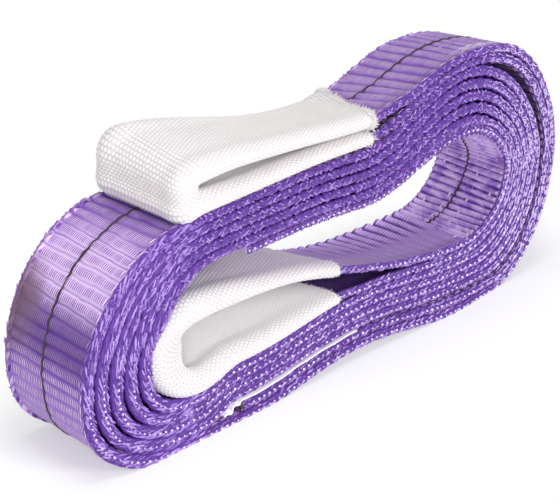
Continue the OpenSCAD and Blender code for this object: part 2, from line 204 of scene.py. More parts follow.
class SlingColours(bpy.types.PropertyGroup):
    """Colours of the cloth and the thread"""
    violet: tint("Violet", "The web's own colour", (0.255, 0.11, 0.49))
    # This colour is the web's deep colour between bright yarns and in the burnt crust. It is also painted
    # shade in grooves, under parts and between plies
    violet_deep: tint("Deep violet", "The web's colour in its grooves", (0.085, 0.03, 0.22))
    # This colour is painted light: the lit crests of rumpled and pressed web, and the edge yarns that carry
    # painted light
    violet_pale: tint("Pale violet", "The web's colour where it is rubbed", (0.44, 0.25, 0.70))
    # This colour is that of the bright yarns, and also of painted highlights on the web
    lilac: tint("Lilac", "The web's colour on polished yarns", (0.77, 0.585, 0.91))
    glow: tint("Glow", "The web between the plies, where light comes through the yarns", (0.17, 0.065, 0.42))
    edge: tint("Edge", "The web's colour along its woven edges", (0.105, 0.04, 0.26))
    edge_pale: tint("Pale edge", "The palest yarns of the woven edges", (0.47, 0.31, 0.73))
    bead: tint("Bead", "The bright loops of weft along an edge", (0.84, 0.75, 0.95))
    tracer: tint("Tracer", "The dark tracer yarn", (0.018, 0.010, 0.016))
    stain: tint("Stain", "The brownish mark on the front end", (0.17, 0.10, 0.15))
    sleeve: tint("Sleeve", "The sleeve's cloth", (0.88, 0.845, 0.83))
    # This colour is painted light: the cloth inside the loops, which lie in shade, is written lighter
    sleeve_clean: tint("Clean sleeve", "The unsoiled cloth inside the loops", (0.96, 0.94, 0.94))
    # This colour is painted shade in the pits between the pearls
    sleeve_pit: tint("Sleeve pits", "The sleeve's cloth between its pearls", (0.60, 0.56, 0.58))
    thread: tint("Thread", "Sewing thread and frayed yarn", (0.84, 0.80, 0.80))
    label: tint("Label", "The bare label tape", (0.86, 0.82, 0.86))
    burnt: tint("Burnt", "The melted end of the tail", (0.03, 0.016, 0.014))


class StageSizes(bpy.types.PropertyGroup):
    """The floor, the light and the camera"""
    camera_place: FloatVectorProperty(
        name="Camera place", description="Where the camera stands", default=(-0.42083, -0.43669, 0.35863),
        subtype="XYZ", unit="LENGTH")
    azimuth: angle("Azimuth", "Direction that the camera looks from", -43.455)
    elevation: angle("Elevation", "Height that the camera looks from", 28.654)
    lens: FloatProperty(
        name="Lens", description="Focal length in millimetres on a sensor 36 mm wide", default=173.1,
        unit="CAMERA")
    ambient: fraction("Ambient", "Strength of the even light from all round", 0.48)


# Routes of the web


def rise(x, start, end):
    """0 up to the start and 1 past the end, with a soft rise between. The end may lie below the start."""
    s = np.clip((x - start) / (end - start), 0, 1)
    return (1 - np.cos(np.pi * s)) / 2


def hill(x, middle, half):
    """A soft hill of height 1 round a middle. half is half its length."""
    s = np.clip((x - middle) / half, -1, 1)
    return (1 + np.cos(np.pi * s)) / 2


def distances(line):
    """Distance of each point from the line's start, along the line."""
    return np.concatenate([[0], np.cumsum(np.linalg.norm(np.diff(line, axis=0), axis=1))])


def even(line, step):
    """The line in equal steps of about that length, and the distances along it."""
    reach = distances(line)
    at = np.linspace(0, reach[-1], max(2, round(reach[-1] / step)) + 1)
    return np.column_stack([np.interp(at, reach, part) for part in line.T]), at


def side_of(line):
    """Unit vectors to the left of the line at each of its points."""
    along = np.gradient(line, axis=0)
    along /= np.linalg.norm(along, axis=1)[:, None]
    return np.column_stack([-along[:, 1], along[:, 0]])


class Routes:
    """Middle lines of the plies in the XZ plane, worked out from the same sizes as the solids."""

    step = 0.5 * MM
    # The power of a plain ellipse
    ellipse = 2.0
    # Woven edges flare from a little past the front bends, over this length
    flare_past, flare_l = 6 * MM, 18 * MM
    # Ribs are drawn flat by this share at the foot of the front end, between these places and heights
    drawn_flat, foot_along, foot_up = 0.6, (40 * MM, 20 * MM), (30 * MM, 18 * MM)
    # Strips are pressed together from the first to the second of these places behind the fold
    crumple_along = (8 * MM, 22 * MM)
    # Zones of the slump along X and up Z: where each starts and is full, or a hill's middle and half length
    wall_along, wall_up = (32 * MM, 50 * MM), (34 * MM, 24 * MM)
    hang_along, hang_up = (-15 * MM, 30 * MM), (32 * MM, 46 * MM)
    leg_along, leg_up = (24 * MM, 44 * MM), (28 * MM, 11 * MM)
    loop_along, loop_up = (-45 * MM, 50 * MM), (37 * MM, 9 * MM)
    slide_along = (35 * MM, 70 * MM)
    # The hang of the inner plies fades between these heights, measured from the top run
    hang_fade = (-5 * MM, 10 * MM)
    # The outer loop's press grows up to this share of its height, and over this share of the eye's length
    press_most, press_share = 1.3, 0.7

    def __init__(self, scene):
        self.web, self.coil, self.eye = scene.sling_web, scene.sling_coil, scene.sling_eye
        c, e, t = self.coil, self.eye, self.web.thickness
        self.front_x = -(c.coil_l + c.drift) / 2
        self.rear_x = self.front_x + c.coil_l
        self.crest_x = self.rear_x - c.rear_top_reach
        self.hinge_x = self.rear_x - e.hinge_back
        self.join_x = (self.hinge_x + self.crest_x) / 2
        self.outer_tail_x = self.rear_x - c.outer_tail_back
        self.inner_tail_x = self.rear_x - c.inner_tail_back
        self.bottom_pitch, self.top_pitch = t + c.bottom_gap, t + c.top_gap
        self.rear_pitch, self.splice_pitch = t + c.rear_gap, t + c.splice_gap
        self.tail_room = self.bottom_pitch + e.label_t + 2 * e.label_clear
        self.sleeve_half = t / 2 + e.sleeve_clear + e.sleeve_wall
        self.sleeve_full = self.sleeve_half + e.sleeve_swell
        self.seat_z = self.top(1, self.hinge_x) + self.splice_pitch
        self.eye_low_z = max(c.coil_h + e.sleeve_gap + self.sleeve_full, self.seat_z)
        self.eye_root_z = self.eye_low_z + 2 * self.sleeve_half + e.sleeve_gap
        self.root_x = self.rear_bottom(c.turns)
        self.root_z = self.bottom(c.turns, self.root_x)

    # Heights along the runs

    def hump(self, x):
        c = self.coil
        return c.hump_rise * rise(x, self.crest_x - c.hump_l, self.crest_x)

    def top(self, k, x):
        return self.coil.coil_h - self.web.thickness / 2 - (k - 1) * self.top_pitch + self.hump(x)

    def bottom(self, k, x):
        c = self.coil
        arch = c.arch_h * hill(x, self.rear_x - c.arch_back, c.arch_half)
        level = self.web.thickness / 2 - c.flat_depth + k * self.bottom_pitch + arch
        if k == 0:
            return level
        return level + self.tail_room * (1 - rise(x, self.outer_tail_x, self.outer_tail_x - c.tail_settle_l))

    def spread(self, x):
        return 1 - rise(x, self.hinge_x, self.hinge_x + self.eye.root_l)

    def lower_fold(self, x):
        return self.top(1, x) + self.splice_pitch + (self.eye_low_z - self.seat_z) * self.spread(x)

    def upper_fold(self, x):
        opened = self.eye_root_z - self.eye_low_z - self.splice_pitch
        return self.lower_fold(x) + self.splice_pitch + opened * self.spread(x)

    # Places of the bends

    def front_end(self, k):
        return self.front_x + self.web.thickness / 2 + k * (self.web.thickness + self.coil.front_gap)

    def rear_end(self, k):
        inset = 0 if k == 0 else self.rear_pitch + self.coil.crescent_gap
        return self.rear_x - self.web.thickness / 2 - k * self.rear_pitch - inset

    def front_top(self, k):
        return self.front_x + self.coil.front_top_reach + k * self.coil.bend_shift

    def front_bottom(self, k):
        return self.front_x + self.coil.front_bottom_reach + k * self.coil.bend_shift

    def rear_bottom(self, k):
        return self.rear_x - self.coil.rear_bottom_reach - k * self.coil.bend_shift

    # Pieces of line

    def run(self, x0, x1, height):
        x = np.linspace(x0, x1, max(2, round(abs(x1 - x0) / self.step)))[1:]
        return np.column_stack([x, height(x)])

    def quarter(self, centre, radii, start, end, full=ellipse):
        # A quarter is about 1.6 times as long as its longer radius
        a = np.radians(np.linspace(start, end, max(8, round(max(radii) * 1.6 / self.step)))[1:])
        out = np.stack([np.cos(a), np.sin(a)], axis=-1)
        return centre + np.array(radii) * np.sign(out) * np.abs(out) ** (2 / full)

    def rear_bend(self, high_z, end_x, low_x, low_z, full=ellipse):
        mid = self.coil.rear_mid_h
        return np.concatenate([
            self.quarter((self.crest_x, mid), (end_x - self.crest_x, high_z - mid), 90, 0, full),
            self.quarter((low_x, mid), (end_x - low_x, mid - low_z), 0, -90)])

    def turn(self, k, high_z):
        """One pass: rear bend, bottom run, front bends and the next top run to the crest."""
        c, mid = self.coil, self.coil.front_mid_h
        end_x, low_x, high_x = self.front_end(k), self.front_bottom(k), self.front_top(k)
        rear_x = self.rear_bottom(k)
        full = c.rear_full if k == 0 else self.ellipse
        return np.concatenate([
            self.rear_bend(high_z, self.rear_end(k), rear_x, self.bottom(k, rear_x), full),
            self.run(rear_x, low_x, lambda x: self.bottom(k, x)),
            self.quarter((low_x, mid), (low_x - end_x, mid - self.bottom(k, low_x)), -90, -180, c.front_full),
            self.quarter((high_x, mid), (high_x - end_x, self.top(k + 1, high_x) - mid), 180, 90),
            self.run(high_x, self.crest_x, lambda x: self.top(k + 1, x))])

    def loop_end(self, end_x, low_z, rise_z, low_r, top_r):
        return np.concatenate([
            self.quarter((end_x + low_r, low_z + low_r), (low_r, low_r), -90, -180),
            self.quarter((end_x + top_r, low_z + rise_z - top_r), (top_r, top_r), 180, 90)])

    # Whole lines

    def outer_turn(self):
        start = [[self.join_x, self.upper_fold(self.join_x)]]
        up = self.run(self.join_x, self.crest_x, self.upper_fold)
        return np.concatenate([start, up, self.turn(0, self.upper_fold(self.crest_x))])

    def inner_turns(self):
        turns = self.coil.turns
        lines = [self.turn(k, self.top(k, self.crest_x)) for k in range(1, turns)]
        last = self.rear_bend(self.top(turns, self.crest_x), self.rear_end(turns), self.root_x, self.root_z)
        return np.concatenate([[[self.crest_x, self.top(1, self.crest_x)]], *lines, last])

    def outer_tail(self):
        low_x = self.rear_bottom(0)

        def above(x):
            return self.bottom(0, x) + self.bottom_pitch

        return np.concatenate([
            [[self.join_x, self.lower_fold(self.join_x)]],
            self.run(self.join_x, self.crest_x, self.lower_fold),
            self.rear_bend(self.lower_fold(self.crest_x), self.rear_end(0) - self.rear_pitch, low_x,
                           above(low_x), self.coil.rear_full),
            self.run(low_x, self.outer_tail_x, above)])

    def inner_tail(self):
        turns = self.coil.turns

        def under(x):
            return self.top(turns, x) - self.splice_pitch

        bend = self.rear_bend(under(self.crest_x), self.rear_end(turns) - self.rear_pitch, self.root_x,
                              self.root_z + self.bottom_pitch)
        return np.concatenate([bend[::-1], self.run(self.crest_x, self.inner_tail_x, under)])

    def outer_eye(self):
        """From the sewn tail, along the lower leg, round the loop and back to the sewn outer ply."""
        e, hinge_x = self.eye, self.hinge_x
        end_x = hinge_x - e.outer_eye_l + self.sleeve_full
        top_x, top_z = end_x + e.outer_top_r, self.eye_low_z + e.outer_rise

        def lower(x):
            return np.where(x > hinge_x, self.lower_fold(x), self.eye_low_z)

        def upper(x):
            leg = top_z + (self.eye_root_z - top_z) * rise(x, top_x, hinge_x)
            return np.where(x > hinge_x, self.upper_fold(x), leg)

        return np.concatenate([
            self.run(self.join_x, end_x + e.outer_low_r, lower),
            self.loop_end(end_x, self.eye_low_z, e.outer_rise, e.outer_low_r, e.outer_top_r),
            self.run(top_x, self.join_x, upper)])

    def inner_eye(self):
        """From the end of the winding, along the lower leg, round the loop and back to the inner tail."""
        c, e = self.coil, self.eye
        end_x = self.front_end(c.turns - 1) + self.web.thickness / 2 + e.sleeve_gap + self.sleeve_full
        loop_x = end_x + e.inner_bend_r
        sleeve_x = end_x - self.sleeve_full + e.inner_sleeve_l
        lift = self.web.thickness / 2 + e.sleeve_gap + self.sleeve_full - self.bottom_pitch

        def lower(x):
            raised = lift * rise(x, sleeve_x + e.settle_l, sleeve_x)
            return self.bottom(c.turns - 1, x) + self.bottom_pitch + raised

        low_z = lower(loop_x)
        top_z, end_z = low_z + 2 * e.inner_bend_r, self.root_z + self.bottom_pitch

        def upper(x):
            return top_z + (end_z - top_z) * rise(x, loop_x, self.root_x)

        return np.concatenate([
            self.run(self.root_x, loop_x, lower),
            self.loop_end(end_x, low_z, 2 * e.inner_bend_r, e.inner_bend_r, e.inner_bend_r),
            self.run(loop_x, self.root_x, upper)])

    def label(self):
        e = self.eye
        start = self.rear_x - e.label_back
        under = self.web.thickness / 2 + e.label_clear + e.label_t / 2
        return self.run(start, start - e.label_l, lambda x: self.bottom(1, x) - under)

    # Give of the cloth

    def flare(self, points):
        """How much fuller each half of the woven edge is: only round the front end, where the turns part."""
        start = self.front_x + self.coil.front_top_reach + self.flare_past
        return self.web.edge_flare / 2 * rise(points[:, 0], start, start - self.flare_l)

    def ribbing(self, points):
        """Height of the ribs as a share of their full height: drawn flat round the foot of the front end."""
        start, end = self.foot_along
        front = rise(points[:, 0], self.front_x + start, self.front_x + end)
        return 1 - self.drawn_flat * front * rise(points[:, 1], *self.foot_up)

    def crumpled(self, points):
        """Where a strip is pressed together lengthwise: only round the rear end."""
        start, end = self.crumple_along
        return rise(points[:, 0], self.hinge_x + start, self.hinge_x + end)

    def settle(self, points):
        """The points as the coil has slumped: far side sunk and drawn back, lowest plies slid nearer."""
        c = self.coil
        x, y, z = np.moveaxis(points, -1, 0)
        far = y / self.web.width + 0.5
        sag = c.lean * rise(x, self.front_x + c.lean_start, self.rear_x - c.lean_full_back)
        sag = sag - c.hump_relief * rise(x, self.hinge_x, self.crest_x)
        held = np.interp(z, [0, c.stack_h, c.coil_h], [0, c.stack_share, 1])
        back = c.drift * rise(x, self.rear_x - c.drift_start_back, self.rear_x - c.drift_full_back)
        back = back + c.wall_drift * hill(z, *self.wall_up) * rise(x, *self.wall_along)
        fade = np.interp(z, [c.coil_h + height for height in self.hang_fade], [1, 0])
        hung = c.spread_low * rise(x, *self.hang_along) * rise(z, *self.hang_up) * fade
        leg = c.leg_sag * far * hill(z, *self.leg_up) * hill(x, *self.leg_along)
        loop = c.loop_sag * hill(z, *self.loop_up) * hill(x, *self.loop_along)
        slid = c.slide * np.interp(z, [0, c.slide_h], [1, 0]) * (1 - rise(x, *self.slide_along))
        return np.stack([x + far * back, y - slid, z - far * sag * held - hung - leg - loop], axis=-1)

    def settle_eye(self, points):
        """The same for the outer eye, whose near side is pressed together as well."""
        e = self.eye
        x, y, z = np.moveaxis(points, -1, 0)
        near = 0.5 - y / self.web.width
        raised = np.clip((z - self.eye_low_z) / e.outer_rise, 0, self.press_most)
        grown = rise(x, self.hinge_x, self.hinge_x - self.press_share * e.outer_eye_l)
        return self.settle(np.stack([x, y, z - e.outer_press * near * raised * grown], axis=-1))


# Nodes


class Nodes:
    """Short ways to add nodes to a tree and to feed them."""

    def __init__(self, tree):
        self.tree = tree

    def feed(self, socket, value):
        """Link the socket to another one, or set its value."""
        if isinstance(value, bpy.types.NodeSocket):
            self.tree.links.new(value, socket)
        elif socket.type == "RGBA" and len(value) == 3:
            socket.default_value = (*value, 1)
        else:
            socket.default_value = value

    def node(self, kind, output, inputs=(), **settings):
        """That output of a new node, with its settings made and its inputs fed."""
        node = self.tree.nodes.new(kind)
        for key, value in settings.items():
            setattr(node, key, value)
        for key, value in dict(inputs).items():
            self.feed(node.inputs[key], value)
        return node.outputs[output]

    def calc(self, operation, *values):
        return self.node("ShaderNodeMath", 0, dict(enumerate(values)), operation=operation)


def strand_tree():
    """A node tree that lays a small strand along each point's direction."""
    tree = bpy.data.node_groups.get("Laid strands")
    if tree:
        return tree
    tree = bpy.data.node_groups.new("Laid strands", "GeometryNodeTree")
    for name, way, kind, default in (
            ("Geometry", "INPUT", "Geometry", None), ("Length", "INPUT", "Float", 1 * MM),
            ("Radius", "INPUT", "Float", 0.3 * MM), ("Variation", "INPUT", "Float", 0.15),
            ("Sides", "INPUT", "Int", 6), ("Rings", "INPUT", "Int", 4), ("Seed", "INPUT", "Int", 1),
            ("Material", "INPUT", "Material", None), ("Geometry", "OUTPUT", "Geometry", None)):
        socket = tree.interface.new_socket(name, in_out=way, socket_type="NodeSocket" + kind)
        if default is not None:
            socket.default_value = default
    given = tree.nodes.new("NodeGroupInput").outputs
    n = Nodes(tree)
    ball = n.node("GeometryNodeMeshUVSphere", "Mesh", {"Segments": given["Sides"], "Rings": given["Rings"]})
    half = n.calc("MULTIPLY", given["Length"], 0.5)
    size = n.node("ShaderNodeCombineXYZ", "Vector", {"X": half, "Y": given["Radius"], "Z": given["Radius"]})
    # A sphere node's poles lie on Z, and the strand's own length lies on X
    laid = n.node("GeometryNodeTransform", "Geometry", {"Geometry": ball, "Rotation": (0, math.pi / 2, 0)})
    strand = n.node("GeometryNodeTransform", "Geometry", {"Geometry": laid, "Scale": size})
    along = n.node("GeometryNodeInputNamedAttribute", "Attribute", {"Name": "along"},
                   data_type="FLOAT_VECTOR")
    turned = n.node("FunctionNodeAlignRotationToVector", "Rotation", {"Vector": along}, axis="X")
    least, most = [n.calc(operation, 1, given["Variation"]) for operation in ("SUBTRACT", "ADD")]
    scale = n.node("FunctionNodeRandomValue", "Value", {"Min": least, "Max": most, "Seed": given["Seed"]},
                   data_type="FLOAT")
    strands_laid = n.node("GeometryNodeInstanceOnPoints", "Instances", {
        "Points": given["Geometry"], "Instance": strand, "Rotation": turned, "Scale": scale})
    tone = n.node("FunctionNodeRandomValue", "Value", {"Seed": given["Seed"]}, data_type="FLOAT")
    toned = n.node("GeometryNodeStoreNamedAttribute", "Geometry",
                   {"Geometry": strands_laid, "Name": "tone", "Value": tone},
                   data_type="FLOAT", domain="INSTANCE")
    made = n.node("GeometryNodeRealizeInstances", "Geometry", {"Geometry": toned})
    smooth = n.node("GeometryNodeSetShadeSmooth", "Geometry", {"Geometry": made})
    finish = n.node("GeometryNodeSetMaterial", "Geometry",
                    {"Geometry": smooth, "Material": given["Material"]})
    n.feed(tree.nodes.new("NodeGroupOutput").inputs["Geometry"], finish)
    return tree


# Meshes


# Columns of points across a woven edge, and how far in its rounding reaches
EDGE_COLUMNS = np.array([0, 0.12, 0.4, 0.9, 1.5]) * MM
EDGE_ROUND = 0.9 * MM
# Distances from the edge at which the ribs begin and are full
RIB_INSET = (0.3 * MM, 1.5 * MM)
# How far the edges stand out and in with the ribs
SCALLOP = 0.22 * MM
# The rumpled far side of the inner eye's upper leg: its start along the web, its length and its reach across
RUMPLE_FROM, RUMPLE_L, RUMPLE_ACROSS = 187 * MM, 17 * MM, (-5 * MM, 6 * MM)
# Bends sharper than this are shown as edges
SHARP = math.radians(70)


def add_object(name, data):
    """A new object at the origin of the scene."""
    piece = bpy.data.objects.new(name, data)
    bpy.context.scene.collection.objects.link(piece)
    return piece


def skin(name, rings, material, weave=None, ring_closed=False):
    """A closed, smooth skin over rings of points, with a map called weave.

    weave has one column more than a ring has points, for the seam where the ring closes.
    """
    count, around = rings.shape[:2]
    if weave is None:
        weave = np.zeros((count, around + 1, 2))
    points = rings.reshape(-1, 3)
    spans = count if ring_closed else count - 1
    i, j = np.meshgrid(np.arange(spans), np.arange(around), indexing="ij")
    ni, nj = (i + 1) % count, (j + 1) % around
    cells = ((i, j), (i, nj), (ni, nj), (ni, j))
    corners = np.stack([ring * around + place for ring, place in cells], axis=-1).reshape(-1, 4)
    maps = np.stack([weave[i, j], weave[i, j + 1], weave[ni, j + 1], weave[ni, j]], axis=-2).reshape(-1, 4, 2)
    a, b, c = points[corners[:, 0]], points[corners[:, 1]], points[corners[:, 2]]
    turned = np.einsum("ij,ij->", a, np.cross(b, c)) < 0
    if turned:
        corners, maps = corners[:, ::-1], maps[:, ::-1]
    faces = corners.tolist()
    maps = maps.reshape(-1, 2)
    if not ring_closed:
        for ring, flip in ((0, turned), (count - 1, not turned)):
            cap = np.arange(around) + ring * around
            order = cap if flip else cap[::-1]
            faces.append(order.tolist())
            maps = np.concatenate([maps, weave[ring, order - ring * around]])
    mesh = bpy.data.meshes.new(name)
    mesh.from_pydata(points.tolist(), [], faces)
    layer = mesh.uv_layers.new(name="weave")
    layer.uv.foreach_set("vector", maps.astype(np.float32).ravel())
    mesh.validate()
    mesh.materials.append(material)
    mesh.shade_smooth()
    mesh.set_sharp_from_angle(angle=SHARP)
    return add_object(name, mesh)


def rings_on(points, side, y, offset):
    """Rings of points across a line, each at its own place across and its own offset to the line's left."""
    x = points[:, None, 0] + side[:, None, 0] * offset
    z = points[:, None, 1] + side[:, None, 1] * offset
    return np.stack([x, y, np.maximum(z, 0)], axis=-1)


def rib_phase(web, y, at, crowd=1.0):
    """Count of ribs up to that distance along the web, with the small wander that a loom leaves.

    crowd is how many times closer the ribs lie than in a web that isn't pressed together.
    """
    slow = np.sin(2 * np.pi * (at / 0.041 + y / 0.090))
    quick = np.sin(2 * np.pi * (at / 0.0173 - y / 0.053))
    return crowd * at / web.rib_pitch + 0.10 * slow + 0.07 * quick


def rib_lift(web, phase):
    """How far the face stands out at that count of ribs: broad crowns at whole counts, narrow grooves."""
    groove = (1 - np.cos(2 * np.pi * phase)) / 2
    return web.rib_height * (0.5 - groove ** 2)


def crumple_lift(height, phase, pressed):
    """Waves in step with the ribs, of that height where the web is fully pressed together."""
    return height / 2 * np.cos(2 * np.pi * phase) * pressed


def round_trip(values, sign=1):
    """Values across the web's upper face, and back across its lower face with that sign."""
    return np.concatenate([values, sign * values[-2:0:-1]])


def ribbon(routes, name, line, material, columns, step, start=0.0, ribs=1.0, crumple=0.0, crowd=1.0,
           rumpled=False, settle=None):
    """A strip of web along a line, ribbed on both faces and fuller along its woven edges.

    start is the distance along the web where the line begins, which keeps the ribs of joined strips in step.
    ribs is the height of the ribs as a share of their full height.
    crumple is the height of the waves into which the strip is pressed together lengthwise.
    crowd is how many times closer the ribs lie there.
    rumpled strips are pressed together on the far side of the inner eye's upper leg, not at the rear end.
    """
    web = routes.web
    settle = settle or routes.settle
    points, at = even(line, step)
    at = at + start
    half_w = web.width / 2
    face = np.linspace(-half_w + web.edge_width, half_w - web.edge_width, columns)
    y = np.concatenate([-half_w + EDGE_COLUMNS, face, half_w - EDGE_COLUMNS[::-1]])
    into = half_w - np.abs(y)
    # A column on the border belongs to the face
    on_edge = into < web.edge_width * 0.99
    full = np.where(on_edge, web.edge_thickness, web.thickness) / 2
    rounded = np.sqrt(np.clip(1 - (1 - into / EDGE_ROUND) ** 2, 0, 1))
    half = np.where(into < EDGE_ROUND, full * rounded, full)
    ribbed = round_trip(np.interp(into, RIB_INSET, (0, 1)), -1)
    fuller = round_trip(np.where(on_edge, half / full, 0), -1)
    half = round_trip(half, -1)
    y = round_trip(y)
    phase = rib_phase(web, y, at[:, None], crowd)
    pressed = routes.crumpled(points)[:, None]
    if rumpled:
        pressed = rise(at, RUMPLE_FROM, RUMPLE_FROM + RUMPLE_L)[:, None] * rise(y, *RUMPLE_ACROSS)
    waves = crumple_lift(crumple, phase, pressed)
    uneven = 0.8 + 0.25 * np.sin(at[:, None] / 0.0079 + y / 0.014) + 0.15 * np.sin(at[:, None] / 0.0031)
    lift = ribs * uneven * routes.ribbing(points)[:, None] * rib_lift(web, phase)
    offset = half + ribbed * lift + waves + fuller * routes.flare(points)[:, None]
    scallop = SCALLOP * np.cos(2 * np.pi * phase) * np.sign(y) * (1 - np.abs(ribbed))
    rings = rings_on(points, side_of(points), y + scallop, offset)
    weave = np.stack([np.broadcast_to(y / MM, offset.shape), phase], axis=-1)
    weave = np.concatenate([weave, weave[:, :1]], axis=1)
    return skin(name, settle(rings), material, weave)


def strands(name, places, directions, shine, material, **sizes):
    """One mesh of strands, one at each place, made by the node tree. shine goes to the material."""
    mesh = bpy.data.meshes.new(name)
    mesh.from_pydata(places.tolist(), [], [])
    for key, kind, field, values in (
            ("along", "FLOAT_VECTOR", "vector", directions),
            ("shine", "FLOAT", "value", np.broadcast_to(shine, len(places)))):
        layer = mesh.attributes.new(key, kind, "POINT")
        layer.data.foreach_set(field, values.astype(np.float32).ravel())
    piece = add_object(name, mesh)
    tree = strand_tree()
    modifier = piece.modifiers.new("Strands", "NODES")
    modifier.node_group = tree
    sockets = {item.name: item.identifier for item in tree.interface.items_tree if item.in_out == "INPUT"}
    for key, value in {"Material": material, **sizes}.items():
        modifier[sockets[key]] = value
    depsgraph = bpy.context.evaluated_depsgraph_get()
    made = bpy.data.meshes.new_from_object(
        piece.evaluated_get(depsgraph), preserve_all_data_layers=True, depsgraph=depsgraph)
    piece.modifiers.remove(modifier)
    piece.data = made
    made.name = name
    bpy.data.meshes.remove(mesh)
    return piece


# Materials


def scaled(colour, factor):
    """The colour made lighter or darker."""
    return tuple(min(1, part * factor) for part in colour)


class Finish(Nodes):
    """A material with one shader, and short ways to add the patterns that feed it."""

    def __init__(self, name, **sockets):
        self.material = bpy.data.materials.new(name)
        self.material.use_nodes = True
        super().__init__(self.material.node_tree)
        self.shader = self.tree.nodes["Principled BSDF"]
        for key, value in sockets.items():
            self.feed(self.shader.inputs[key.replace("_", " ")], value)

    def between(self, value, low, high):
        """0 below low and 1 above high, with a soft rise."""
        inputs = {0: value, 1: low, 2: high}
        return self.node("ShaderNodeMapRange", 0, inputs, interpolation_type="SMOOTHSTEP")

    def wave(self, value):
        """A wave between 0 and 1, once for each whole number, with its top there."""
        turned = self.calc("MULTIPLY", value, 2 * math.pi)
        return self.calc("MULTIPLY_ADD", self.calc("COSINE", turned), 0.5, 0.5)

    def mix(self, part, first, second):
        return self.node("ShaderNodeMix", 2, {0: part, 6: first, 7: second}, data_type="RGBA")

    def noise(self, vector, scale, detail=2.0):
        return self.node("ShaderNodeTexNoise", 0, {"Vector": vector, "Scale": scale, "Detail": detail})

    def vector(self, operation, first, second):
        return self.node("ShaderNodeVectorMath", 0, {0: first, 1: second}, operation=operation)

    def size_of(self, vector):
        return self.node("ShaderNodeVectorMath", "Value", {0: vector}, operation="LENGTH")

    def weave(self):
        """The two numbers of the piece's own map."""
        split = self.tree.nodes.new("ShaderNodeSeparateXYZ")
        self.feed(split.inputs[0], self.node("ShaderNodeUVMap", "UV", uv_map="weave"))
        return split.outputs[0], split.outputs[1]

    def object_place(self):
        return self.node("ShaderNodeTexCoord", "Object")

    def stored(self, name):
        """A number that the mesh keeps for each strand."""
        return self.node("ShaderNodeAttribute", "Fac", attribute_name=name)

    def cell_tone(self, column, row):
        """A random number for each cell of a grid."""
        cell = self.node("ShaderNodeCombineXYZ", 0, {0: self.calc("ROUND", column), 1: row})
        return self.node("ShaderNodeTexWhiteNoise", "Value", {"Vector": cell}, noise_dimensions="2D")

    def on_edge(self, across, start=13.9, full=14.5):
        """0 on the face and 1 along the woven edges, whose limits are in millimetres from the middle."""
        return self.between(self.calc("ABSOLUTE", across), start, full)

    def spot(self, place, centre, reach, strength):
        """A soft patch round a centre, with its reach along each axis, both in millimetres."""
        moved = self.vector("SUBTRACT", place, [part * MM for part in centre])
        away = self.size_of(self.vector("DIVIDE", moved, [part * MM for part in reach]))
        uneven = self.calc("MULTIPLY_ADD", self.noise(place, 130.0), 0.5, self.calc("SUBTRACT", away, 0.25))
        return self.calc("MULTIPLY", self.calc("SUBTRACT", 1.0, self.between(uneven, 0.3, 1.0)), strength)

    def colour(self, value):
        self.feed(self.shader.inputs["Base Color"], value)

    def rough(self, value):
        self.feed(self.shader.inputs["Roughness"], value)

    def relief(self, height, depth):
        normal = self.node("ShaderNodeBump", 0, {"Height": height, "Distance": depth, "Strength": 1.0})
        self.feed(self.shader.inputs["Normal"], normal)

    def grain(self, scale, depth):
        """A fine, even roughness of the surface."""
        self.relief(self.noise(self.object_place(), scale), depth)


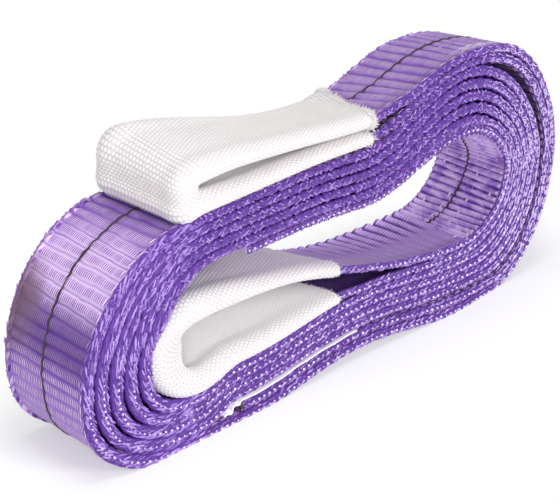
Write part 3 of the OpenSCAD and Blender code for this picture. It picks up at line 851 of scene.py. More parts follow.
def violet_web(scene):
    """Ribbed polyester web: a comb of bright warp ends beside a smooth band in each rib, worn and stained,
    with painted highlights and painted shade.
    """
    colours, web = scene.sling_colours, scene.sling_web
    f = Finish("violet web", Specular_IOR_Level=0.15)
    across, ribs = f.weave()
    place = f.object_place()
    row = f.calc("FLOOR", f.calc("ADD", ribs, 0.5))
    past = f.calc("SUBTRACT", ribs, row)
    uneven = f.calc("MULTIPLY_ADD", f.noise(place, 150.0), 0.4, f.calc("SUBTRACT", past, 0.2))
    off = f.calc("ABSOLUTE", uneven)
    comb = f.calc("SUBTRACT", 1.0, f.between(off, 0.16, 0.44))
    row_tone = f.node("ShaderNodeTexWhiteNoise", "Value", {"W": row}, noise_dimensions="1D")
    slant = f.calc("MULTIPLY_ADD", past, 0.6, f.calc("MULTIPLY", row, 0.37))
    count = f.calc("MULTIPLY_ADD", across, MM / web.tick_pitch, slant)
    tick = f.between(f.wave(count), 0.2, 0.75)
    yarn_tone = f.cell_tone(count, row)
    patch = f.between(f.noise(place, 45.0), 0.35, 0.65)
    # Painted highlight over the bulge of the front end
    painted_highlight = f.spot(place, (-74, -6, 49), (27, 46, 13), 1.0)
    satin = f.calc("MULTIPLY_ADD", row_tone, 0.15, f.calc("MULTIPLY", patch, 0.12))
    # The satin band, the bright yarns and the gaps between them are lighter in the painted highlight
    satin = f.mix(f.calc("MULTIPLY_ADD", painted_highlight, 0.9, satin), colours.violet, colours.lilac)
    painted_highlight_colour = f.mix(painted_highlight, colours.lilac, scaled(colours.lilac, 1.25))
    bright = f.mix(f.calc("MULTIPLY_ADD", yarn_tone, 0.35, 0.65), colours.violet, painted_highlight_colour)
    gap = f.mix(f.calc("MULTIPLY_ADD", painted_highlight, -0.75, 0.75), colours.violet, colours.violet_deep)
    cloth = f.mix(comb, satin, f.mix(tick, gap, bright))
    # The grooves are drawn flat round the foot of the front end, where their painted shade is weaker
    flat = f.calc("SUBTRACT", 1.0, f.spot(place, (-84, 0, 10), (30, 50, 20), 0.75))
    groove = f.calc("MULTIPLY", f.calc("MULTIPLY_ADD", row_tone, 0.5, 0.3), flat)
    # Painted shade in the grooves, deeper in some rows
    cloth = f.mix(f.calc("MULTIPLY", f.between(off, 0.34, 0.5), groove), cloth, colours.violet_deep)
    # In order: painted shade below the bulge, painted shadow under the outer eye, the mark, painted shade
    # deep in the core and the worn top of the hump
    for centre, reach, strength, colour in (
            ((-85, -8, 36), (15, 40, 12), 0.72, colours.violet_deep),
            ((-50, 2, 62), (17, 30, 9), 0.7, colours.violet_deep),
            ((-82, 16, 40), (13, 13, 20), 0.9, colours.stain),
            ((25, 0, 12), (34, 40, 6), 0.7, colours.violet_deep),
            ((52, -11, 71), (14, 2.5, 8), 0.7, colours.bead)):
        cloth = f.mix(f.spot(place, centre, reach, strength), cloth, colour)
    f.colour(f.mix(f.on_edge(across), cloth, colours.edge))
    f.relief(f.calc("MULTIPLY", tick, comb), 0.12 * MM)
    f.rough(f.calc("MULTIPLY_ADD", comb, 0.12, 0.42))
    return f.material


def flat_web(scene):
    """The web of the inner eye, drawn flat, with its warp yarns showing as fine lengthwise lines."""
    colours, web = scene.sling_colours, scene.sling_web
    f = Finish("flat web", Roughness=0.45, Specular_IOR_Level=0.25)
    across, ribs = f.weave()
    place = f.object_place()
    wander = f.calc("MULTIPLY", f.noise(place, 160.0), 0.8)
    lines = f.wave(f.calc("MULTIPLY_ADD", across, 0.6 * MM / web.tick_pitch, wander))
    cloth = f.mix(f.calc("MULTIPLY_ADD", lines, 0.75, 0.1), colours.violet, colours.lilac)
    cloth = f.mix(f.calc("MULTIPLY", f.wave(ribs), 0.3), cloth, colours.violet)
    # The far side is rumpled where the upper leg ends, with painted highlights on the crests of the rumples
    # and painted shade between them
    along = f.between(ribs, RUMPLE_FROM / web.rib_pitch, (RUMPLE_FROM + RUMPLE_L) / web.rib_pitch)
    rumpled = f.calc("MULTIPLY", along, f.between(across, *[limit / MM for limit in RUMPLE_ACROSS]))
    crest = f.between(f.calc("MULTIPLY_ADD", f.noise(place, 260.0), 0.5, f.wave(ribs)), 0.4, 0.9)
    painted_highlight = f.mix(lines, colours.violet_pale, colours.lilac)
    cloth = f.mix(rumpled, cloth, f.mix(crest, scaled(colours.violet_deep, 1.6), painted_highlight))
    # Painted shade: the count of ribs starts at the lower leg, which lies in the dark between the legs and is
    # darkened there
    lower = f.calc("SUBTRACT", 1.0, f.between(ribs, 17.0, 22.0))
    cloth = f.mix(f.calc("MULTIPLY", lower, 0.9), cloth, scaled(colours.violet_deep, 0.7))
    f.colour(f.mix(f.on_edge(across), cloth, colours.edge))
    f.relief(lines, 0.1 * MM)
    return f.material


def pressed_web(scene):
    """The web inside the rear end, pressed together into sharp ripples, with painted highlights on their
    crests and painted shade in their valleys.
    """
    colours = scene.sling_colours
    f = Finish("pressed web", Roughness=0.4, Specular_IOR_Level=0.3)
    across, ribs = f.weave()
    broken = f.noise(f.object_place(), 260.0, 3.0)
    crest = f.between(f.calc("MULTIPLY_ADD", broken, 0.6, f.wave(ribs)), 0.25, 0.65)
    painted_highlight = f.mix(f.between(broken, 0.3, 0.6), colours.violet_pale, colours.lilac)
    # Painted highlights on the crests, painted shade in the valleys
    cloth = f.mix(crest, scaled(colours.violet_deep, 1.8), painted_highlight)
    f.colour(f.mix(f.on_edge(across), cloth, colours.edge))
    f.grain(900.0, 0.15 * MM)
    return f.material


def inside_web(scene):
    """The web between the plies. Light comes through its yarns there, so it is written lighter."""
    colours = scene.sling_colours
    f = Finish("inside web", Roughness=0.5, Specular_IOR_Level=0.2)
    across, ribs = f.weave()
    face = f.mix(f.calc("MULTIPLY", f.wave(ribs), 0.5), colours.glow, scaled(colours.glow, 0.6))
    f.colour(f.mix(f.on_edge(across, 14.4, 14.8), face, colours.edge))
    f.grain(900.0, 0.1 * MM)
    return f.material


def edge_yarn(scene):
    """The yarns of a woven edge, each in its own tone, paler where their shine carries painted light."""
    colours = scene.sling_colours
    f = Finish("edge yarn", Roughness=0.45, Specular_IOR_Level=0.2)
    tone, shine = f.stored("tone"), f.stored("shine")
    level = f.calc("POWER", tone, f.calc("MULTIPLY_ADD", shine, -1.6, 2.2))
    pale = f.mix(f.calc("MULTIPLY", shine, 0.5), colours.edge_pale, colours.bead)
    dark = f.mix(f.calc("MULTIPLY", shine, 0.45), scaled(colours.edge, 1.5), colours.violet_pale)
    f.colour(f.mix(level, dark, pale))
    f.grain(2500.0, 0.05 * MM)
    return f.material


def edge_bead(scene):
    """The loops of weft along a woven edge, as bright as the painted light that their shine carries."""
    colours = scene.sling_colours
    f = Finish("edge bead", Sheen_Weight=0.1, Roughness=0.4)
    level = f.calc("MULTIPLY", f.calc("MULTIPLY_ADD", f.stored("tone"), 0.4, 0.6), f.stored("shine"))
    f.colour(f.mix(level, colours.edge, colours.bead))
    f.grain(2500.0, 0.05 * MM)
    return f.material


def tracer_yarn(scene):
    """The dark yarn in the middle of the web."""
    colours = scene.sling_colours
    f = Finish("tracer yarn", Roughness=0.6)
    f.colour(f.mix(f.noise(f.object_place(), 700.0), colours.tracer, scaled(colours.tracer, 3.0)))
    f.grain(1800.0, 0.08 * MM)
    return f.material


def sleeve_cloth(scene):
    """Pearl-woven white sleeve, lighter on the inside of the loops than on the outside in painted light, with
    painted shade in the pits between the pearls.
    """
    colours, eye = scene.sling_colours, scene.sling_eye
    f = Finish("sleeve cloth", Sheen_Weight=0.3, Sheen_Roughness=0.5, Roughness=0.62, Specular_IOR_Level=0.3)
    around, along = f.weave()
    row = f.calc("FLOOR", along)
    column = f.calc("MULTIPLY_ADD", row, 0.5, around)
    first = f.calc("ABSOLUTE", f.calc("COSINE", f.calc("MULTIPLY", column, math.pi)))
    second = f.calc("SINE", f.calc("MULTIPLY", f.calc("SUBTRACT", along, row), math.pi))
    pearls = f.calc("MULTIPLY", first, second)
    patch = f.calc("SUBTRACT", f.noise(f.object_place(), 90.0), 0.5)
    patch = f.calc("MULTIPLY_ADD", f.calc("SUBTRACT", f.cell_tone(column, row), 0.6), 0.35, patch)
    level = f.calc("MULTIPLY_ADD", patch, 0.4, f.between(pearls, 0.05, 0.75))
    # The map counts pearls round the sleeve, the first half of them on the outside of the loop
    half = pearls_around(eye) / 2
    # Painted light: the inside of the loops, which lies in shade, is written lighter, pits and cloth alike
    inside = f.between(around, half + 2, half + 7)
    pit_shade = f.mix(f.calc("MULTIPLY", inside, 0.75), colours.sleeve_pit, colours.sleeve_clean)
    f.colour(f.mix(level, pit_shade, f.mix(inside, colours.sleeve, colours.sleeve_clean)))
    f.grain(1600.0, 0.06 * MM)
    return f.material


def pearls_around(eye):
    """How many pearls one row has round a sleeve."""
    return round(2 * eye.sleeve_w / eye.pearl_w)


def frayed_yarn(scene):
    """Loose yarns at a sleeve's cut end."""
    colours = scene.sling_colours
    f = Finish("frayed yarn", Roughness=0.6, Sheen_Weight=0.2)
    f.colour(f.mix(f.stored("tone"), scaled(colours.thread, 0.85), colours.thread))
    f.grain(2200.0, 0.05 * MM)
    return f.material


def sewing_thread(scene):
    """White thread, with some stitches in the web's colour."""
    colours = scene.sling_colours
    f = Finish("sewing thread", Roughness=0.55, Sheen_Weight=0.2)
    tone = f.stored("tone")
    white = f.mix(tone, scaled(colours.thread, 0.8), colours.thread)
    f.colour(f.mix(f.calc("MULTIPLY", f.stored("shine"), f.between(tone, 0.3, 0.8)), colours.violet, white))
    f.grain(2200.0, 0.08 * MM)
    return f.material


def label_tape(scene):
    """The bare tape of the label."""
    colours = scene.sling_colours
    f = Finish("label tape", Roughness=0.45)
    f.colour(f.mix(f.noise(f.object_place(), 140.0), scaled(colours.label, 0.85), colours.label))
    f.grain(900.0, 0.05 * MM)
    return f.material


def burnt_web(scene):
    """The lumpy, melted crust on a cut end."""
    colours = scene.sling_colours
    f = Finish("burnt web", Roughness=0.4)
    lumps = f.noise(f.object_place(), 600.0)
    f.colour(f.mix(f.between(lumps, 0.4, 0.7), colours.burnt, scaled(colours.violet_deep, 0.8)))
    f.relief(lumps, 0.3 * MM)
    return f.material


# Operators


class Piece(bpy.types.Operator):
    """Base of the operators that make a piece"""
    bl_options = {"REGISTER", "UNDO"}

    def execute(self, context):
        self.scene = context.scene
        self.routes = Routes(context.scene)
        self.make()
        return {"FINISHED"}

    def finish(self, make):
        """The material of that maker, made once."""
        name = make.__name__.replace("_", " ")
        return bpy.data.materials.get(name) or make(self.scene)

    def on_coil(self, piece, slot="violet_web"):
        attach(piece, "coil")

    def on_fold(self, piece, slot="violet_web"):
        """Bake the transform of a piece of the outer eye into its mesh."""
        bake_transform(piece)

    def web_sheet(self, piece, line, rests_on):
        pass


class SLING_OT_stage(bpy.types.Operator):
    """Set up the white floor, the soft light and the camera"""
    bl_idname = "sling.stage"
    bl_label = "Stage"

    # Name, place, size and power of each lamp, and the point that they are aimed at
    lamps = (
        ("top light", (-0.1, -0.05, 1.1), 0.6, 4.1),
        ("front light", (-0.58, -0.62, 0.42), 0.3, 3.7),
        ("near light", (0.15, -0.85, 0.48), 0.4, 4.0))
    aim = Vector((0, 0, 0.04))
    floor_half = 3.0
    # The shadow shows in an oval round the coil: one over its half axes, and the least share of white in it
    oval, least_white = (11, 32, 0), 0.35
    # The floor turns plain white between these multiples of the oval
    white_from, white_full = 0.8, 1.6

    def execute(self, context):
        scene, stage = context.scene, context.scene.sling_stage
        scene.view_settings.view_transform = "Standard"
        self.floor()
        self.world(scene, stage)
        for lamp in self.lamps:
            self.lamp(*lamp)
        self.camera(scene, stage)
        return {"FINISHED"}

    def floor(self):
        h = self.floor_half
        mesh = bpy.data.meshes.new("floor")
        mesh.from_pydata([(-h, -h, 0), (h, -h, 0), (h, h, 0), (-h, h, 0)], [], [(0, 1, 2, 3)])
        f = Finish("white floor", Roughness=0.9, Base_Color=(0.92, 0.92, 0.93), Specular_IOR_Level=0.1)
        mesh.materials.append(f.material)
        glow = f.node("ShaderNodeEmission", 0, {"Color": (1, 1, 1, 1), "Strength": 1.0})
        away = f.size_of(f.vector("MULTIPLY", f.object_place(), self.oval))
        white = f.calc("MAXIMUM", self.least_white, f.between(away, self.white_from, self.white_full))
        part = f.calc("MULTIPLY", self.seen(f), white)
        mixed = f.node("ShaderNodeMixShader", 0, {0: part, 1: f.shader.outputs[0], 2: glow})
        f.feed(f.tree.nodes["Material Output"].inputs["Surface"], mixed)
        add_object("floor", mesh)

    def seen(self, f):
        """1 for rays that show the background to the camera, straight, mirrored or through glass."""
        path = f.tree.nodes.new("ShaderNodeLightPath")
        straight = f.calc("MAXIMUM", path.outputs["Is Camera Ray"], path.outputs["Is Glossy Ray"])
        return f.calc("MAXIMUM", straight, path.outputs["Is Transmission Ray"])

    def world(self, scene, stage):
        """Even white light, with plain white where the camera looks past the floor."""
        scene.world = bpy.data.worlds.new("white room")
        scene.world.use_nodes = True
        n = Nodes(scene.world.node_tree)
        room = n.tree.nodes["Background"]
        n.feed(room.inputs["Color"], (1, 1, 1, 1))
        straight = n.node("ShaderNodeLightPath", "Is Camera Ray")
        n.feed(room.inputs["Strength"], n.node("ShaderNodeMix", 0, {0: straight, 2: stage.ambient, 3: 1.0}))

    def lamp(self, name, place, size, power):
        lamp = bpy.data.lights.new(name, "AREA")
        lamp.shape, lamp.size, lamp.energy = "DISK", size, power
        piece = add_object(name, lamp)
        piece.location = place
        piece.rotation_euler = (self.aim - Vector(place)).to_track_quat("-Z", "Y").to_euler()

    def camera(self, scene, stage):
        lens = bpy.data.cameras.new("camera")
        lens.sensor_fit, lens.sensor_width, lens.lens = "HORIZONTAL", 36, stage.lens
        a, e = stage.azimuth, stage.elevation
        back = Vector((math.sin(a) * math.cos(e), -math.cos(a) * math.cos(e), math.sin(e)))
        right = Vector((math.cos(a), math.sin(a), 0))
        turn = Matrix((right, back.cross(right), back)).transposed()
        scene.camera = add_object("camera", lens)
        scene.camera.matrix_world = Matrix.Translation(stage.camera_place) @ turn.to_4x4()


class SLING_OT_winding(Piece):
    """Make the wound web: the outer turn and the turns inside it"""
    bl_idname = "sling.winding"
    bl_label = "Wound web"

    def make(self):
        routes = self.routes
        start = distances(routes.outer_eye())[-1]
        outer = ribbon(routes, "wound_web", routes.outer_turn(), self.finish(violet_web), columns=7,
                       step=0.3 * MM, start=start)
        inner = ribbon(routes, "wound_web_inner_turns", routes.inner_turns(), self.finish(inside_web),
                       columns=3, step=0.5 * MM)
        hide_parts("wound_web")
        for piece, line in ((outer, routes.outer_turn()), (inner, routes.inner_turns())):
            self.on_coil(piece)
            self.web_sheet(piece, line, ["floor"])


class SLING_OT_tails(Piece):
    """Make the two tails that are sewn to the winding"""
    bl_idname = "sling.tails"
    bl_label = "Tails"

    # How far the melted crust stands out past the web's edges, and its depth as a share of its height
    crust_past, crust_depth = 0.3 * MM, 0.6

    def make(self):
        routes, web = self.routes, self.routes.web
        for name, line, finish, shape in (
                ("outer_tail_web", routes.outer_tail(), violet_web, {"columns": 3}),
                ("inner_tail_web", routes.inner_tail(), pressed_web,
                 {"columns": 9, "crumple": web.crumple, "crowd": web.crowd})):
            piece = ribbon(routes, name, line, self.finish(finish), step=0.2 * MM, **shape)
            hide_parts(name)
            self.on_coil(piece)
            self.web_sheet(piece, line, ["wound_web"])
        self.burnt_end()

    def burnt_end(self):
        """The melted crust on the outer tail's cut end."""
        routes, web = self.routes, self.routes.web
        end_x, end_z = routes.outer_tail()[-1]
        half_w = web.width / 2 + self.crust_past
        y = np.linspace(-half_w, half_w, 40)
        turn = np.linspace(0, 2 * np.pi, 12, endpoint=False)
        lump = 1 + 0.25 * np.sin(y / (1.3 * MM)) + 0.15 * np.sin(y / (0.6 * MM) + 1)
        lump[[0, -1]] = 0.4
        radius = lump[:, None] * web.edge_thickness / 2
        rings = np.stack([
            end_x + self.crust_depth * radius * np.cos(turn),
            np.broadcast_to(y[:, None], (len(y), len(turn))),
            end_z + radius * np.sin(turn)], axis=-1)
        self.on_coil(skin("outer_tail_burnt_end", routes.settle(rings), self.finish(burnt_web)))


class SLING_OT_eyes(Piece):
    """Make the web of the two eyes"""
    bl_idname = "sling.eyes"
    bl_label = "Eyes"

    # Height of the inner eye's ribs and of its rumples, as shares of the web's ribs and crumple
    inner_ribs, inner_rumple = 0.3, 1.6

    def make(self):
        routes = self.routes
        line = routes.inner_eye()
        inner = ribbon(routes, "inner_eye_web", line, self.finish(flat_web), columns=7, step=0.3 * MM,
                       ribs=self.inner_ribs, crumple=self.inner_rumple * routes.web.crumple, rumpled=True)
        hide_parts("inner_eye_web")
        self.on_coil(inner)
        self.web_sheet(inner, line, ["wound_web"])
        line = routes.outer_eye()
        outer = ribbon(routes, "outer_eye_web", line, self.finish(violet_web), columns=7, step=0.3 * MM,
                       settle=routes.settle_eye)
        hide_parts("outer_eye_web")
        self.on_fold(outer)
        self.web_sheet(outer, line, ["wound_web"])


class SLING_OT_edges(Piece):
    """Make the woven edges: slanting yarns and a row of weft loops"""
    bl_idname = "sling.edges"
    bl_label = "Woven edges"

    # Levels of the rows of yarns across an edge, as shares of its half thickness
    yarn_levels, tick_levels = (-0.55, 0.0, 0.55), (-0.65, 0.0, 0.65)
    # Heights between which the slant of the short yarns changes, and the slant along the bottom
    slant_up, bottom_slant = (40 * MM, 46 * MM), 0.6
    # Short yarns are paler from the crest on, over this length, in painted light, and all along the bottom by
    # this share
    pale_l, bottom_pale = 25 * MM, 0.3
    # The rear end starts this far behind the crest, and the bottom run this far behind the front end
    rear_past, bottom_past, bottom_top = 8 * MM, 30 * MM, 30 * MM
    # Painted light and shade: weft loops are bright below the lower of these heights and dull above the other
    bright_down = (20 * MM, 36 * MM)
    # Painted shade: brightness of the far side's loops as a share of the near side's
    far_shine = 0.3

    def make(self):
        routes = self.routes
        coil = [routes.outer_turn(), routes.inner_turns(), routes.outer_tail(), routes.inner_eye()]
        for name, side in (("near", -1), ("far", 1)):
            rows = [self.beads(line, side, routes.settle, 0) for line in coil]
            rows.append(self.beads(routes.inner_tail(), side, routes.settle, 0.9))
            self.on_coil(self.loops(f"edge_loops_{name}", rows))
            lines = [*coil, routes.inner_tail()]
            self.on_coil(self.yarns(f"edge_yarns_{name}", lines, side))
            self.on_coil(self.ticks(f"edge_ticks_{name}", lines, side, routes.settle))
            lines = [routes.outer_eye()]
            rows = [self.beads(line, side, routes.settle_eye, 0) for line in lines]
            self.on_fold(self.loops(f"outer_eye_edge_loops_{name}", rows))
            self.on_fold(self.ticks(f"outer_eye_edge_ticks_{name}", lines, side, routes.settle_eye))

    def loops(self, name, rows):
        radius = self.routes.web.bead_radius
        return strands(name, *map(np.concatenate, zip(*rows)), self.finish(edge_bead),
                       Length=2.3 * radius, Radius=radius, Seed=3)

    def yarns(self, name, lines, side):
        """Loose lengthwise yarns round the front end, where the edge isn't pressed between others."""
        routes, web = self.routes, self.routes.web
        chance = np.random.default_rng(11)
        rows = []
        for line in lines:
            points, at = even(line, web.yarn_pitch)
            count = len(at)
            for middle in self.yarn_levels:
                loose = chance.uniform(0, 1, count) < routes.flare(points) / (0.5 * web.edge_flare)
                level = np.clip(middle + chance.uniform(-0.25, 0.25, count), -0.9, 0.9)
                slant = 0.3 + chance.uniform(-0.25, 0.25, count)
                places, aims = self.row(points, side, routes.settle, level, slant)
                rows.append((places[loose], aims[loose]))
        return strands(name, *map(np.concatenate, zip(*rows)), 0.0, self.finish(edge_yarn), Variation=0.4,
                       Length=web.yarn_length, Radius=web.yarn_radius, Sides=5, Rings=3, Seed=5)

    def ticks(self, name, lines, side, settle):
        """Short yarns in the lower half of each pressed edge, with more rows at the rear end, top and bottom.

        They are crossed along the top and slant one way along the bottom.
        """
        routes, web = self.routes, self.routes.web
        chance = np.random.default_rng(13)
        rows = []
        for line in lines:
            points, at = even(line, 0.8 * web.yarn_pitch)
            x, z = points.T
            count = len(at)
            high = rise(z, *self.slant_up)
            crossed = 0.8 * high * np.where(np.arange(count) % 2, 1, -1) + self.bottom_slant * (1 - high)
            low = np.where(side_of(points)[:, 1] > 0, -0.35, 0.35)
            level = low + chance.uniform(-0.12, 0.12, count)
            slant = crossed + chance.uniform(-0.2, 0.2, count)
            # Painted light: short yarns are paler from the crest on
            pale = rise(x, routes.crest_x, routes.crest_x + self.pale_l)
            pale = np.maximum(pale, self.bottom_pale * (1 - high))
            rows.append((*self.row(points, side, settle, level, slant), pale))
            rear = x > routes.crest_x + self.rear_past
            top = (z > self.slant_up[0]) & ~rear
            bottom = (z < self.bottom_top) & (x > routes.front_x + self.bottom_past) & ~rear
            for middle in self.tick_levels:
                level = middle + chance.uniform(-0.2, 0.2, count)
                slant = np.where(top, -crossed, self.bottom_slant * bottom)
                slant = slant + chance.uniform(-0.35, 0.35, count)
                places, aims = self.row(points, side, settle, level, slant)
                some = chance.uniform(0, 1, count) < 0.7
                shown = rear | ((top | (bottom & (middle != 0))) & some)
                rows.append((places[shown], aims[shown], pale[shown]))
        return strands(name, *map(np.concatenate, zip(*rows)), self.finish(edge_yarn), Variation=0.3,
                       Length=web.tick_length, Radius=web.tick_radius, Sides=5, Rings=3, Seed=6)

    def beads(self, line, side, settle, least):
        """A row of weft loops, bright near the floor and never less than least, in painted light and shade.
        """
        points, at = even(line, self.routes.web.bead_pitch)
        places, directions = self.row(points, side, settle, np.full(len(at), 0.05), np.zeros(len(at)))
        shine = np.maximum(least, 1 - rise(places[:, 2], *self.bright_down))
        return places, directions, shine * (1 if side < 0 else self.far_shine)

    def row(self, points, side, settle, level, slant):
        """Places and directions of a row along an edge, at a level that is a share of its half thickness."""
        web = self.routes.web
        normal = side_of(points)
        along = np.column_stack([normal[:, 1], -normal[:, 0]])
        raised = level * (web.edge_thickness / 2 + self.routes.flare(points))
        points = points + normal * raised[:, None]
        y = side * (web.width / 2 - EDGE_ROUND * (1 - np.sqrt(1 - level ** 2)) + 0.02 * MM)
        places = settle(np.column_stack([points[:, 0], y, points[:, 1]]))
        aim = along + slant[:, None] * normal
        # What lies next to the floor lies flat on it
        free = np.clip((places[:, 2] - web.bead_radius) / (2 * MM), 0, 1)
        places[:, 2] = np.maximum(places[:, 2], 1.2 * web.bead_radius)
        return places, np.column_stack([aim[:, 0], np.zeros(len(aim)), aim[:, 1] * free])


class SLING_OT_tracer(Piece):
    """Make the dark tracer yarn that is woven into the middle of the web"""
    bl_idname = "sling.tracer"
    bl_label = "Tracer"

    # The tracer shows on the outer eye from this place to the winding
    fold_from = -10 * MM
    # How far it wanders, half its height, its clearance over the web and its least height over the floor
    wander_w, half_height, clear, floor_z = 0.3 * MM, 0.14 * MM, 0.04 * MM, 0.15 * MM
    # It spans the grooves, and sinks into them by only this part of their depth
    sink = 0.35

    def make(self):
        routes, web = self.routes, self.routes.web
        fold = routes.outer_eye()
        reach = distances(fold)
        self.on_coil(self.yarn("tracer_outer_turn", routes.outer_turn(), reach[-1]))
        self.on_coil(self.yarn("tracer_inner_tail", routes.inner_tail(), 0, web.crumple, web.crowd))
        last = np.flatnonzero(fold[:, 0] < self.fold_from)[-1]
        self.on_fold(self.yarn("tracer_fold", fold[last:], reach[last]))

    def yarn(self, name, line, start, crumple=0.0, crowd=1.0):
        """The yarn along a line that begins at that distance along the web, waved as the web is there."""
        routes, web = self.routes, self.routes.web
        points, at = even(line, 0.3 * MM)
        along = at + start
        wander = 0.5 * np.sin(along / 0.0061) + 0.35 * np.sin(along / 0.0023 + 1)
        wander = wander + 0.2 * np.sin(along / 0.0011 + 2)
        y = web.tracer_offset + self.wander_w * wander
        half = web.tracer_width / 2 * (0.85 + 0.3 * np.sin(along / 0.0037) * np.sin(along / 0.0013))
        phase = rib_phase(web, y, along, crowd)
        ribbing, crumpled = routes.ribbing(points), routes.crumpled(points)
        waved = ribbing * rib_lift(web, phase) + crumple_lift(crumple, phase, crumpled)
        crest = ribbing * web.rib_height / 2 + crumple / 2 * crumpled
        lift = web.thickness / 2 + self.clear + crest + self.sink * (waved - crest)
        side = side_of(points)
        middle = points + side * lift[:, None]
        # Under the coil the tracer lies inside the web, above the floor
        middle[:, 1] = np.maximum(middle[:, 1], self.floor_z)
        turn = np.linspace(0, 2 * np.pi, 8, endpoint=False)
        across = y[:, None] + half[:, None] * np.cos(turn)
        rings = rings_on(middle, side, across, self.half_height * np.sin(turn))
        return skin(name, routes.settle(rings), self.finish(tracer_yarn))


class SLING_OT_sleeves(Piece):
    """Make the white sleeves of the two eyes, with their frayed ends"""
    bl_idname = "sling.sleeves"
    bl_label = "Sleeves"

    # Points of the mesh for each pearl, and rings for each row of pearls
    around_pearl, per_row = 4, 2
    # Middle and reach of a rim across the sleeve, as shares of half its width
    rim_at, rim_reach = 0.80, 0.36
    # How square the section is
    squareness = 7
    # How much fuller the rims are at least, inside and outside the loop
    least_in, least_out = 0.2 * MM, 0.25 * MM
    # How much thicker the sleeve is in its middle, and the half length of the pad at the end of the loop
    loose, pad_half = 0.18, 0.2
    # The upper leg's outside fills out between these shares of the length
    upper_from, upper_full = 0.4, 0.55
    # Half length of the sharper corner
    corner_half = 4.5 * MM
    # A loose thread lies between these shares of the length, at this place across
    thread_along, thread_y = (0.47, 0.56), -2 * MM
    # Yarns for each point of the two ends and of the tuft on the near side of the second end
    yarns, tuft_yarns, tuft_share = (2, 6), 8, 0.42

    def make(self):
        routes, e = self.routes, self.routes.eye
        line = routes.outer_eye()
        corner_at = distances(line)[np.argmin(line[:, 0] + line[:, 1])]
        outer, size, ends, thread = self.tube(
            "outer_eye_sleeve", line, routes.hinge_x - e.outer_sleeve_back, routes.settle_eye, e.outer_pad,
            e.outer_sleeve_skew, corner_at)
        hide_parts("outer_eye_sleeve")
        self.on_fold(outer, "sleeve_cloth")
        ring, out = ends[1]
        tuft = np.flatnonzero(ring[:, 1] < -self.tuft_share * e.sleeve_w)
        ends.append((ring[tuft], out[tuft]))
        fray = self.fray("outer_sleeve_fray", ends, (*self.yarns, self.tuft_yarns), thread)
        self.on_fold(fray, "sleeve_cloth")
        line = routes.inner_eye()
        end_x = line[:, 0].min() - routes.sleeve_full + e.inner_sleeve_l
        inner, size, ends, _ = self.tube("inner_eye_sleeve", line, end_x, routes.settle, e.inner_pad)
        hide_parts("inner_eye_sleeve")
        self.on_coil(inner, "sleeve_cloth")
        self.on_coil(self.fray("inner_sleeve_fray", ends, (2, 2), size=0.5), "sleeve_cloth")

    def section(self, count):
        """Points round a flat tube, and its girth.

        Each has its place across, its share of the half thickness and its share of the rim.
        """
        routes, e = self.routes, self.routes.eye
        half_w = e.sleeve_w / 2
        turn = np.linspace(0, 2 * np.pi, 8 * count, endpoint=False)
        y = half_w * np.sign(np.cos(turn)) * np.abs(np.cos(turn)) ** 0.5
        full = np.sign(np.sin(turn)) * (1 - np.clip(np.abs(y) / half_w, 0, 1) ** self.squareness) ** 0.5
        rim = hill(np.abs(y), self.rim_at * half_w, self.rim_reach * half_w)
        ring = np.column_stack([y, full * (routes.sleeve_half + 0.5 * e.rim_puff * rim), full, rim])
        ring = np.concatenate([ring, ring[:1]])
        reach = distances(ring[:, :2])
        at = np.linspace(0, reach[-1], count, endpoint=False)
        return [np.interp(at, reach, ring[:, k]) for k in (0, 2, 3)], reach[-1]

    def tube(self, name, line, end_x, settle, pad, skew=0.0, corner_at=None):
        """A sleeve over the line in front of end_x, its flat size, its ends and a line for a loose thread.

        pad is how much fuller the rims are at the end of the loop. skew is how much longer the far side is at
        the second end. corner_at is the distance along the line of a tight bend, at which the outside stands
        out to a sharper corner.
        """
        routes, e = self.routes, self.routes.eye
        start, end = distances(line)[np.flatnonzero(line[:, 0] < end_x)[[0, -1]]]
        around = self.around_pearl * pearls_around(e)
        (y, full, rim), girth = self.section(around)
        rows = self.per_row * round((end - start) / e.pearl_l)
        t = np.linspace(0, 1, rows + 1)[:, None]
        at = start + (end - start) * t + skew * (y / e.sleeve_w + 0.5) * np.clip(2 * t - 1, 0, 1)
        i, j = np.meshgrid(np.arange(rows + 1), np.arange(around), indexing="ij")
        turn = np.pi * (j / self.around_pearl + i // self.per_row / 2)
        pearls = np.where(i % self.per_row, np.abs(np.cos(turn)), 0) * e.pearl_height
        swell = np.sin(np.pi * t)
        inside = self.least_in + e.rim_puff * swell ** 1.3 + pad * hill(t, 0.5, self.pad_half)
        outside = self.least_out + e.rim_puff_out * rise(t, self.upper_from, self.upper_full) * swell
        puff = rim * np.where(full > 0, outside, inside)
        half = full * (routes.sleeve_half * (1 + self.loose * swell) + puff)
        if corner_at is not None:
            corner = full * e.outer_corner * hill(at, corner_at, self.corner_half)
            half = np.where(half > 0, half + corner, half)
        outer = self.wrap(line, at, y, half, pearls)
        few = np.linspace(0, rows, rows // 8 + 1).round().astype(int)[::-1]
        slot = full * (routes.sleeve_half - e.sleeve_wall)
        inner = self.wrap(line, at[few], y * (1 - 2 * e.sleeve_wall / e.sleeve_w), slot, 0)
        rings = settle(np.concatenate([outer, inner]))
        u = np.arange(around + 1) / self.around_pearl
        v = np.concatenate([np.arange(rows + 1), few]) / self.per_row
        weave = np.stack(np.meshgrid(u, v), axis=-1)
        piece = skin(name, rings, self.finish(sleeve_cloth), weave, ring_closed=True)
        ends = [(rings[k], rings[k] - rings[k + step]) for k, step in ((0, 3), (rows, -3))]
        column = np.argmin(np.abs(y - self.thread_y) - full * MM)
        first, last = [round(part * rows) for part in self.thread_along]
        return piece, (float(girth), float(end - start)), ends, rings[first:last, column]

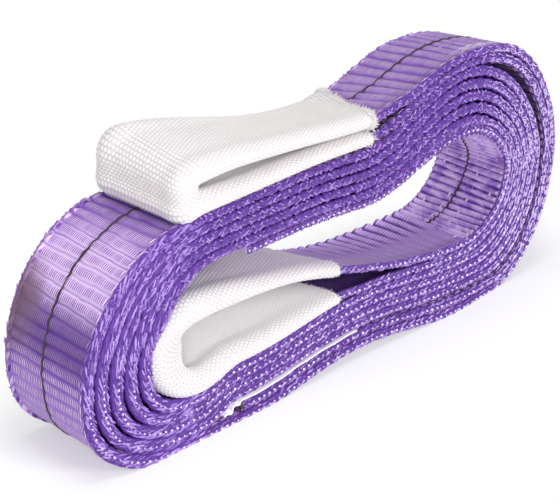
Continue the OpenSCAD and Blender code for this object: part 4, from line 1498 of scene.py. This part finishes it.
    def fray(self, name, ends, counts, thread=(), size=1.0):
        """Loose yarns that stick out of the cut ends of a sleeve, and one thread that lies on it.

        size is their length as a share of the usual one.
        """
        e = self.routes.eye
        reach = e.fray_l * size
        chance = np.random.default_rng(5)
        places, directions = [], []
        for (ring, out), count in zip(ends, counts):
            out = out / np.linalg.norm(out, axis=1)[:, None]
            for _ in range(count):
                aim = out + chance.normal(0, 0.55, out.shape)
                aim /= np.linalg.norm(aim, axis=1)[:, None]
                places.append(ring + aim * reach * chance.uniform(-0.2, 0.3, (len(ring), 1)))
                directions.append(aim)
        if len(thread):
            places.append(thread)
            directions.append(np.gradient(thread, axis=0))
        return strands(name, np.concatenate(places), np.concatenate(directions), 1.0,
                       self.finish(frayed_yarn), Length=reach, Radius=e.fray_r, Variation=0.6, Sides=4,
                       Rings=3, Seed=9)

    def wrap(self, line, at, y, h, pearls):
        """Rings of points round the line, at each point's own distance along it."""
        fine, reach = even(line, 0.5 * MM)
        x, z = [np.interp(at, reach, part) for part in fine.T]
        out_x, out_z = [np.interp(at, reach, part) for part in side_of(fine).T]
        out_y = np.clip(np.abs(y) / (0.5 * self.routes.eye.sleeve_w), 0, 1) ** 8 * np.sign(y)
        offset = h + pearls * np.sign(h) * (1 - np.abs(out_y))
        across = np.broadcast_to(y, at.shape) + pearls * out_y
        return np.stack([x + out_x * offset, across, np.maximum(z + out_z * offset, 0)], axis=-1)


class SLING_OT_stitching(Piece):
    """Make the stitches of the two splices and of the label"""
    bl_idname = "sling.stitching"
    bl_label = "Stitching"

    # The outer seam runs from in front of the crest down to a height, and the inner one ends behind the crest
    before_crest, seam_end_z, past_crest = 4 * MM, 6 * MM, 3 * MM

    def make(self):
        routes, e = self.routes, self.routes.eye
        outer = routes.outer_turn()
        sewn = (outer[:, 0] > routes.crest_x) & (outer[:, 1] > self.seam_end_z)
        seam = outer[: np.flatnonzero(sewn)[-1]]
        seam = seam[np.flatnonzero(seam[:, 0] > routes.crest_x - self.before_crest)[0]:]
        lift = routes.web.thickness / 2
        self.seam("outer_splice_stitching", seam, e.seam_rows, lift, 0.1)
        inner = routes.inner_tail()
        seam = inner[: np.flatnonzero(inner[:, 0] > routes.crest_x + self.past_crest)[-1]]
        self.seam("inner_splice_stitching", seam, e.seam_rows, lift, 0.8)
        label = routes.label()
        self.seam("label_stitching", label[: len(label) // 2], 2, e.label_t / 2, 1)

    def seam(self, name, line, rows, lift, shine):
        """Rows of stitches along a line, on the face that lies at that height over it."""
        routes, e = self.routes, self.routes.eye
        points, at = even(line, e.stitch_pitch)
        normal = side_of(points)
        along = np.column_stack([normal[:, 1], np.zeros(len(at)), -normal[:, 0]])
        points = points + normal * (lift + e.stitch_r * 0.3)
        places = [np.column_stack([points[:, 0], np.full(len(at), y), points[:, 1]])
                  for y in np.linspace(-1, 1, rows) * (routes.web.width / 2 - e.seam_inset)]
        piece = strands(name, routes.settle(np.concatenate(places)), np.tile(along, (rows, 1)), shine,
                        self.finish(sewing_thread), Length=e.stitch_l, Radius=e.stitch_r, Seed=7,
                        Variation=0.2)
        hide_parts(name)
        self.on_coil(piece, "thread")


class SLING_OT_label(Piece):
    """Make the bare label that lies between two plies"""
    bl_idname = "sling.label"
    bl_label = "Label"

    # How far the label wanders across, and how far its caught end is folded up and drawn out
    wander_w, fold_h, drawn = 0.15 * MM, 0.4 * MM, 0.5 * MM
    # Distances from the front end at which the label begins to be caught and is fully caught
    caught_along = (9 * MM, 4 * MM)

    def make(self):
        routes, e = self.routes, self.routes.eye
        points, at = even(routes.label(), 0.4 * MM)
        half_w = e.label_w / 2
        y = np.linspace(-half_w, half_w, 9)
        height = np.full(len(y), e.label_t / 2)
        y = np.concatenate([y, y[::-1]])
        height = np.concatenate([height, -height])
        wander = self.wander_w * np.sin(at / 0.005) * np.sin(at / 0.0021 + 1)
        # The near side of the front end is folded up where it has been caught between the plies
        start, end = [at[-1] - place for place in self.caught_along]
        caught = rise(at, start, end)[:, None] * np.clip(-y / half_w, 0, 1) ** 6
        folds = np.sin(at / (0.55 * MM))[:, None] * caught
        across = y + wander[:, None] - self.drawn * caught
        rings = rings_on(points, side_of(points), across, height + self.fold_h * folds)
        piece = skin("label", routes.settle(rings), self.finish(label_tape))
        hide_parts("label")
        self.on_coil(piece, "label_cloth")


class SLING_PT_panel(bpy.types.Panel):
    """Lists the sling's operators in the sidebar"""
    bl_label = "Flat Web Sling"
    bl_space_type = "VIEW_3D"
    bl_region_type = "UI"
    bl_category = "Sling"

    def draw(self, context):
        for operator in OPERATORS:
            self.layout.operator(operator.bl_idname)


GROUPS = {
    "sling_web": WebSizes,
    "sling_coil": CoilSizes,
    "sling_eye": EyeSizes,
    "sling_colours": SlingColours,
    "sling_stage": StageSizes,
}
OPERATORS = (SLING_OT_stage, SLING_OT_winding, SLING_OT_tails, SLING_OT_eyes, SLING_OT_edges, SLING_OT_tracer,
             SLING_OT_sleeves, SLING_OT_stitching, SLING_OT_label)
CLASSES = (*GROUPS.values(), *OPERATORS, SLING_PT_panel)


def register():
    for cls in CLASSES:
        bpy.utils.register_class(cls)
    for name, group in GROUPS.items():
        setattr(bpy.types.Scene, name, PointerProperty(type=group))


def unregister():
    for name in GROUPS:
        delattr(bpy.types.Scene, name)
    for cls in reversed(CLASSES):
        bpy.utils.unregister_class(cls)


def main():
    register()
    bpy.ops.sling.stage()
    bpy.ops.sling.winding()
    bpy.ops.sling.tails()
    bpy.ops.sling.eyes()
    bpy.ops.sling.edges()
    bpy.ops.sling.tracer()
    bpy.ops.sling.sleeves()
    bpy.ops.sling.stitching()
    bpy.ops.sling.label()


if __name__ == "__main__":
    main()
